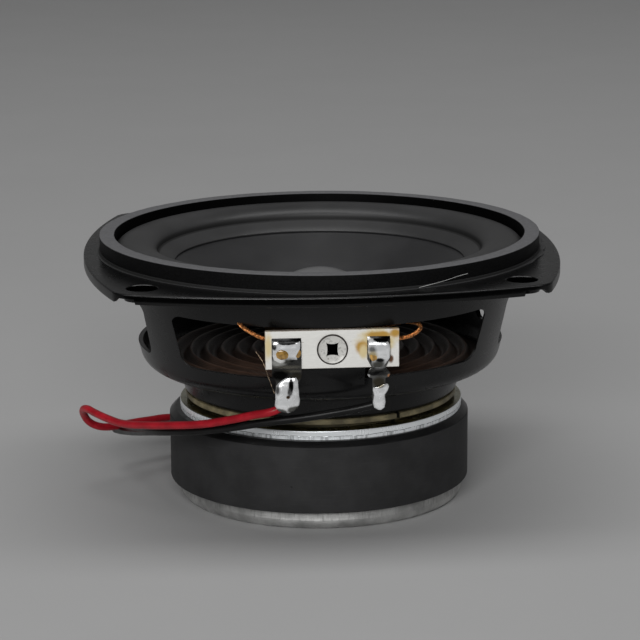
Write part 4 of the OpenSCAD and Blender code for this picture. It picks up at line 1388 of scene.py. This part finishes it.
def bead(middle, sections, crumple, size, square, sides, seed):
    """A drop of solder lofted through level ovals of (z, x0, x1, front, back) in millimetres.

    The x are counted from the lug's middle, front and back from the board's face. Its skin is
    crumpled by so many millimetres in waves of the given size; a square of 2 gives plain ovals."""
    bm = bmesh.new()
    rings = []
    between = 4
    ovals = [(z, middle + x0, middle + x1, FACE + y0, FACE + y1) for z, x0, x1, y0, y1 in sections]
    for k in range(between * (len(ovals) - 1) + 1):
        t = k / between
        i = min(int(t), len(ovals) - 2)
        z, x0, x1, front, back = (p + (q - p) * (t - i) for p, q in zip(ovals[i], ovals[i + 1]))
        ring = bmesh.ops.create_circle(bm, segments=sides, radius=1)["verts"]
        for v in ring:
            c, s = v.co.x, v.co.y
            c = abs(c) ** (2 / square) * (1 if c > 0 else -1)
            s = abs(s) ** (2 / square) * (1 if s > 0 else -1)
            x, y = (x0 + x1) / 2 + c * (x1 - x0) / 2, -(front + back) / 2 + s * (front - back) / 2
            v.co = Vector((x, y, z)) * MM
        rings.append(ring)
    for a, b in zip(rings, rings[1:]):
        edges = [e for ring in (a, b) for v in ring for e in v.link_edges if e.other_vert(v) in ring]
        bmesh.ops.bridge_loops(bm, edges=list(dict.fromkeys(edges)))
    for ring in (rings[0], rings[-1]):
        bmesh.ops.contextual_create(bm, geom=ring)
    bmesh.ops.recalc_face_normals(bm, faces=bm.faces)
    bm.normal_update()
    for v in bm.verts:
        v.co += v.normal * noise.noise(v.co / (size * MM) + Vector((seed, seed, 0))) * crumple * MM
    return bm


def merged(*sources):
    """One bmesh that holds all the given ones."""
    whole = bmesh.new()
    for source in sources:
        mesh = bpy.data.meshes.new("part")
        source.to_mesh(mesh)
        source.free()
        whole.from_mesh(mesh)
        bpy.data.meshes.remove(mesh)
    return whole


def eyelet_bore():
    return arc(BOARD_X, BOARD_MID, BARREL, 0, 350, 35)


class DRIVER_OT_terminals(bpy.types.Operator):
    """Build the terminal board, its eyelet, the lugs and their solder"""

    bl_idname = "driver.terminals"
    bl_label = "Terminals"

    def execute(self, context):
        sizes, colours = context.scene.driver_sizes, context.scene.driver_colours
        bm = bmesh.new()
        bmesh.ops.create_cube(bm, size=1)
        bmesh.ops.scale(bm, verts=bm.verts, vec=(BOARD_HIGH - BOARD_LOW) * MM)
        bmesh.ops.translate(bm, verts=bm.verts, vec=(BOARD_HIGH + BOARD_LOW) / 2 * MM)
        softened(bm, sizes.board_edge, 3)
        slot = [(-1.25, 46.25), (1.25, 46.25), (1.25, 46.85), (-1.25, 46.85)]
        holes = [eyelet_bore(), shifted(POS_X, slot), shifted(NEG_X, slot)]
        mesh = carved(bm, [prism(outline, 6, upright(0, 42)) for outline in holes])
        gold, pale, brown = (0.55, 0.31, 0.05), (0.8, 0.66, 0.36), (0.12, 0.05, 0.02)
        stains = shifted(NEG_X, [
            (-0.3, 46.5, 4.0, 2.6, pale, 0.35), (0.1, 47.9, 2.6, 0.7, gold, 0.4),
            (-3.6, 45.2, 1.3, 1.4, gold, 0.5), (-3.2, 44.2, 0.9, 1.4, pale, 0.5),
            (2.7, 42.5, 0.5, 0.8, brown, 0.5), (3.6, 48.3, 1.1, 0.9, gold, 0.6),
        ]) + shifted(POS_X, [(-3.9, 46.0, 0.8, 2.6, pale, 0.6)])
        board = paper_board("paper_board", colours.board, stains)
        dressed("paper_board", mesh, board, replaces=["terminal_board"])

        washer = (
            [(0, FACE - 2.6), (BARREL, FACE - 2.6), (BARREL, FACE)]
            + [(3.15, FACE)] + arc(3.15, FACE + 0.2, 0.22, -60, 110, 6)
            + [(2.9, FACE + 0.36), (2.3, FACE + 0.3), (0, FACE + 0.27)]
        )
        bm = lathe(washer, 96, closed=False)
        stand = placed(0, BOARD_X, z=BOARD_MID) @ Matrix.Rotation(radians(90), 4, "X")
        bmesh.ops.transform(bm, matrix=stand, verts=bm.verts)
        for v in bm.verts:
            if -v.co.y / MM > FACE + 0.1:
                v.co.y += noise.noise(v.co * 700) * 0.06 * MM
        half, sag, bow = 1.45, 0.35, 4.0
        reach, sweep = half - sag + bow, degrees(asin(half / bow))
        mouth = []
        for a in map(radians, QUARTERS):
            for x, z in arc(reach, 0, bow, 180 + sweep, 180 - sweep, 8)[:-1]:
                across = BOARD_X + x * cos(a) - z * sin(a)
                mouth.append((across, BOARD_MID + (x * sin(a) + z * cos(a)) * 1.1))
        mesh = carved(bm, [prism(mouth, 6, upright(0, FACE - 2.3))])
        plating = plated_rivet("plated_eyelet", (0.8, 0.79, 0.75), BOARD_X, BOARD_MID)
        dressed("eyelet_ring", mesh, plating, replaces=["board_eyelet"])
        self.positive(colours)
        self.negative(colours)
        return {"FINISHED"}

    def positive(self, colours):
        outline = [
            (-3.2, 39.2), (-2.4, 38.2), (-2.4, 32.2), (-1.6, 31.6), (1.6, 31.6), (2.4, 32.2),
            (2.4, 37.6), (3.1, 38.8), (3.2, 39.6), (3.2, 48.6), (2.8, 48.9), (-2.9, 48.9),
            (-3.2, 48.6),
        ]
        # The white blot colour is a painted highlight; the black one gives painted dark reflections.
        black, olive, highlight_white = (0.006, 0.006, 0.006), (0.05, 0.046, 0.036), (0.92, 0.92, 0.9)
        # On the tinned lug the black blots are painted dark reflections, the band along the bent top among
        # them.
        tin = soldered(
            "tinned_lug", shade(colours.tin, 0.12), POS_X,
            [
                (-1.8, 42.4, 1.6, 0.9, (0.4, 0.4, 0.38), 0.5), (0.4, 41.3, 2.9, 0.35, (0.2, 0.19, 0.16), 0.6),
                (0.9, 40.4, 2.3, 0.3, (0.16, 0.15, 0.12), 0.6), (-1.6, 39.6, 2.2, 1.2, black, 0.5),
                (2.0, 39.2, 1.4, 0.8, olive, 0.5), (0, 47.7, 3.6, 1.2, black, 0.1),
            ],
            0.1,
        )
        lug = plate(POS_X, outline)
        piece("positive_tab", lug, tin, replaces=["positive_lug"])
        # On the solder the white blot is a painted highlight, the black and grey ones are painted dark
        # reflections and painted shade on the bead's facets, and the brown one is a pit.
        bright = soldered(
            "bright_solder", colours.solder, POS_X,
            [
                (0, 42.3, 3.2, 1.0, (0.1, 0.1, 0.09), 0.6), (-2.0, 42.9, 1.3, 0.8, highlight_white, 0.5),
                (0.2, 47.1, 2.6, 0.85, black, 0.12), (-2.7, 45.9, 0.5, 0.7, (0.15, 0.15, 0.15), 0.4),
                (1.6, 42.75, 1.1, 0.2, black, 0.3), (2.5, 43.3, 0.25, 1.1, (0.04, 0.04, 0.04), 0.4),
                (0.85, 37.5, 0.5, 1.9, black, 0.35), (0.5, 35.9, 0.45, 0.9, (0.2, 0.2, 0.2), 0.6),
                (0.2, 34.8, 0.4, 0.35, (0.1, 0.05, 0.02), 0.5),
                (-2.1, 36.4, 0.5, 1.0, (0.25, 0.25, 0.25), 0.6),
                (1.6, 31.9, 1.6, 0.9, (0.16, 0.16, 0.15), 0.3), (-1.4, 31.5, 1.3, 0.7, (0.2, 0.2, 0.19), 0.3),
            ],
        )
        sheet = bead(
            POS_X,
            [
                (42.2, -1.5, 0.4, 0.58, 0.3), (43.0, -2.8, 2.4, 0.75, 0.3),
                (43.8, -3.05, 2.0, 0.95, 0.3), (45.4, -3.05, 2.9, 0.9, 0.3),
                (46.6, -3.0, 3.0, 0.72, 0.3), (47.0, -2.8, 2.9, 0.55, 0.3),
            ],
            0.08, 1.3, 4.0, 40, 3.0,
        )
        drop = bead(
            POS_X,
            [
                (31.25, -1.2, 0.9, 0.8, -0.5), (31.6, -2.0, 1.8, 1.2, -0.8),
                (32.8, -2.6, 2.6, 1.4, -0.9), (34.2, -2.5, 2.7, 1.3, -0.9),
                (35.8, -2.6, 2.65, 1.25, -0.8), (37.2, -2.4, 2.5, 1.1, -0.7),
                (38.2, -1.5, 2.4, 0.95, -0.5), (38.9, -0.4, 2.0, 0.7, -0.2),
            ],
            0.16, 1.7, 2.8, 44, 7.0,
        )
        solder = merged(sheet, drop)
        piece("positive_bead", solder, bright, replaces=["positive_solder"], angle=40)
        flux = amber("set_flux", colours.flux)
        self.dot(flux, "flux_left", POS_X - 0.95, 44.2, 1.4, 0.95, 0.8)
        self.dot(flux, "flux_right", POS_X + 2.45, 44.4, 0.6, 0.8, 1.7)

    def dot(self, flux, name, x, z, r, lift, tall):
        """A flat drop of flux on a lug."""
        bm = bmesh.new()
        bmesh.ops.create_uvsphere(bm, u_segments=32, v_segments=16, radius=r * MM)
        bmesh.ops.scale(bm, verts=bm.verts, vec=(1, 0.22, tall))
        for v in bm.verts:
            v.co += v.co.normalized() * noise.noise(v.co * 900) * 0.12 * MM
        bmesh.ops.translate(bm, verts=bm.verts, vec=(x * MM, -(FACE + lift - 0.12) * MM, z * MM))
        piece(name, bm, flux)

    def negative(self, colours):
        outline = [
            (-1.4, 32.4), (-1.0, 31.95), (1.0, 31.95), (1.4, 32.4), (1.45, 38.4), (2.2, 38.6),
            (2.5, 39.4), (1.9, 40.3), (1.5, 40.7), (2.5, 42.8), (2.5, 48.6), (2.1, 48.9),
            (-2.1, 48.9), (-2.5, 48.6), (-2.5, 42.6), (-1.5, 40.7), (-2.1, 40.3), (-2.5, 39.2),
            (-2.1, 38.5), (-1.45, 38.4),
        ]
        lug = plate(NEG_X, outline)
        # The black blot colour gives painted dark reflections.
        black, copper = (0.006, 0.006, 0.006), (0.5, 0.24, 0.12)
        # On this lug the black band along the bent top is a painted dark reflection; the copper blot is bare
        # copper.
        tin = soldered(
            "stained_lug", shade(colours.tin, 0.22), NEG_X,
            [
                (0, 39.4, 1.9, 0.5, (0.05, 0.05, 0.05), 0.5), (2.3, 38.9, 0.4, 0.35, copper, 0.4),
                (-2.3, 39.0, 0.4, 0.3, (0.5, 0.5, 0.5), 0.4), (0, 37.4, 1.3, 1.3, (0.07, 0.062, 0.045), 0.4),
                (0.2, 40.9, 1.1, 0.6, (0.3, 0.3, 0.3), 0.5), (0.5, 47.7, 2.6, 1.0, black, 0.15),
            ],
            0.3,
        )
        piece("negative_tab", lug, tin, replaces=["negative_lug"])
        body = bead(
            NEG_X,
            [
                (40.9, -1.2, 0.9, 0.62, 0.3), (41.8, -1.8, 1.6, 0.85, 0.3),
                (43.0, -2.2, 2.3, 1.15, 0.3), (44.6, -2.35, 2.4, 1.35, 0.3),
                (46.0, -2.4, 2.35, 1.2, 0.3), (46.9, -2.2, 1.6, 0.8, 0.3),
                (47.2, -1.9, 0.2, 0.55, 0.3),
            ],
            0.14, 1.4, 3.4, 40, 11.0,
        )
        end = bead(
            NEG_X,
            [
                (31.35, -0.4, 0.6, 0.75, -0.3), (31.8, -1.1, 1.2, 1.0, -0.5),
                (33.0, -1.4, 1.4, 1.1, -0.6), (34.6, -1.1, 1.3, 1.0, -0.5),
                (35.6, -1.4, 1.9, 0.95, -0.45), (36.4, -1.3, 2.2, 0.9, -0.4),
                (37.0, 0.5, 2.0, 0.75, -0.2),
            ],
            0.08, 1.2, 2.6, 36, 19.0,
        )
        # On the solder the black and near-black blots are painted dark reflections, and the pale brown one is
        # flux.
        bright = soldered(
            "smooth_solder", colours.solder, NEG_X,
            [
                (-0.2, 41.4, 1.7, 1.2, (0.12, 0.12, 0.11), 0.6), (0.5, 47.0, 1.6, 0.65, black, 0.2),
                (0.2, 42.5, 0.9, 0.5, (0.02, 0.02, 0.02), 0.4), (-1.5, 44.9, 0.8, 0.7, (0.3, 0.3, 0.3), 0.6),
                (-1.5, 43.6, 1.0, 0.9, (0.5, 0.42, 0.24), 0.6), (-1.9, 42.2, 0.3, 0.8, black, 0.5),
                (-0.5, 36.9, 1.9, 0.6, (0.07, 0.062, 0.045), 0.4),
            ],
            0.1,
        )
        solder = merged(body, end)
        piece("negative_bead", solder, bright, replaces=["negative_solder"], angle=40)
        pale = amber("pale_flux", shade(colours.flux, 1.5))
        self.dot(pale, "flux_middle", NEG_X - 1.2, 43.4, 0.8, 1.2, 1.3)


# Flying leads


class DRIVER_OT_braids(bpy.types.Operator):
    """Braid the two flying leads between the lugs and the cone"""

    bl_idname = "driver.braids"
    bl_label = "Flying leads"

    def execute(self, context):
        sizes, colours = context.scene.driver_sizes, context.scene.driver_colours
        copper = strands("copper_braid", colours.copper)
        for name, route in (("left", LEFT_BRAID), ("right", RIGHT_BRAID)):
            core = smooth_path(route, 260)
            reach = sizes.braid / 2 - sizes.strand / 2
            paths = twisted(core, 4, reach, 2.4 * MM)
            for k, path in enumerate(paths):
                for i, point in enumerate(path):
                    over = sin(2 * pi * i / len(path) * 24 + k * 2.1) * 0.03 * MM
                    path[i] = point + (point - core[i]).normalized() * over
            bm = swept(paths, sizes.strand / 2)
            lead = piece(name + "_braid", bm, copper, blended=True, angle=60)
            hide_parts(name + "_flying_lead")
            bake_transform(lead)
        return {"FINISHED"}


# Stray hairs


LINT = [(51.3, -69.5, 58.55), (51.1, -66, 58.9), (51.0, -62, 59.3), (50.95, -58, 59.8), (50.95, -55, 60.0)]
STRAYS = [
    millimetres([(-17.0, -43.6, 44.2), (-15.6, -44.6, 42.2), (-14.4, -45.4, 38.8), (-13.2, -46, 35.4)]),
    millimetres([(-14.2, -45.4, 30.9), (-13.5, -45.8, 31.6), (-12.6, -46, 31.9)]),
]


class DRIVER_OT_strays(bpy.types.Operator):
    """Lay the hair of lint on the flange and the stray strands at the positive lug"""

    bl_idname = "driver.strays"
    bl_label = "Stray hairs"

    def execute(self, context):
        lint = insulation("lint", (0.5, 0.5, 0.49))
        route = millimetres([(r * cos(radians(a)), r * sin(radians(a)), z) for r, a, z in LINT])
        piece("lint_hair", swept([smooth_path(route, 40)], 0.05 * MM), lint, angle=60)
        strand = strands("stray_strand", (0.5, 0.38, 0.26))
        bm = swept([smooth_path(path, 30) for path in STRAYS], 0.055 * MM)
        piece("stray_strands", bm, strand, angle=60)
        return {"FINISHED"}


# Hidden parts


class DRIVER_OT_hidden(bpy.types.Operator):
    """Give the pole, coil, rivets and anchors their finishes"""

    bl_idname = "driver.hidden"
    bl_label = "Inner parts"

    def execute(self, context):
        finishes = {
            "pole_piece": bare_metal("turned_steel", (0.42, 0.42, 0.43), 0.3),
            "frame_rivets": bare_metal("rivet_steel", (0.55, 0.55, 0.56), 0.34),
            "coil_former": moulded("former_film", (0.2, 0.09, 0.015), 0.3),
            "voice_coil": strands("coil_wire", (0.6, 0.22, 0.08), 0.25),
            "lead_anchors": amber("anchor_glue", (0.2, 0.11, 0.02)),
        }
        for name, finish in finishes.items():
            node = frame["nodes"][name]
            if not node.material_slots:
                node.data.materials.append(finish)
            for place in node.material_slots:
                place.material = finish
        return {"FINISHED"}


OPERATORS = [
    DRIVER_OT_camera,
    DRIVER_OT_stage,
    DRIVER_OT_leads,
    DRIVER_OT_basket,
    DRIVER_OT_front,
    DRIVER_OT_spider,
    DRIVER_OT_motor,
    DRIVER_OT_terminals,
    DRIVER_OT_braids,
    DRIVER_OT_strays,
    DRIVER_OT_hidden,
]


class DRIVER_PT_panel(bpy.types.Panel):
    """Lists the parts of the driver in the sidebar"""

    bl_idname = "DRIVER_PT_panel"
    bl_label = "Speaker driver"
    bl_space_type = "VIEW_3D"
    bl_region_type = "UI"
    bl_category = "Driver"

    def draw(self, context):
        for group in (context.scene.driver_sizes, context.scene.driver_colours):
            box = self.layout.box()
            for name in group.bl_rna.properties.keys():
                if name not in {"rna_type", "name"}:
                    box.prop(group, name)
        for operator in OPERATORS:
            self.layout.operator(operator.bl_idname)


CLASSES = [DriverSizes, DriverColours, *OPERATORS, DRIVER_PT_panel]


def register():
    for group in CLASSES:
        bpy.utils.register_class(group)
    bpy.types.Scene.driver_sizes = PointerProperty(type=DriverSizes)
    bpy.types.Scene.driver_colours = PointerProperty(type=DriverColours)


def unregister():
    del bpy.types.Scene.driver_sizes
    del bpy.types.Scene.driver_colours
    for group in reversed(CLASSES):
        bpy.utils.unregister_class(group)


def main():
    register()
    for operator in OPERATORS:
        family, name = operator.bl_idname.split(".")
        getattr(getattr(bpy.ops, family), name)()


if __name__ == "__main__":
    main()
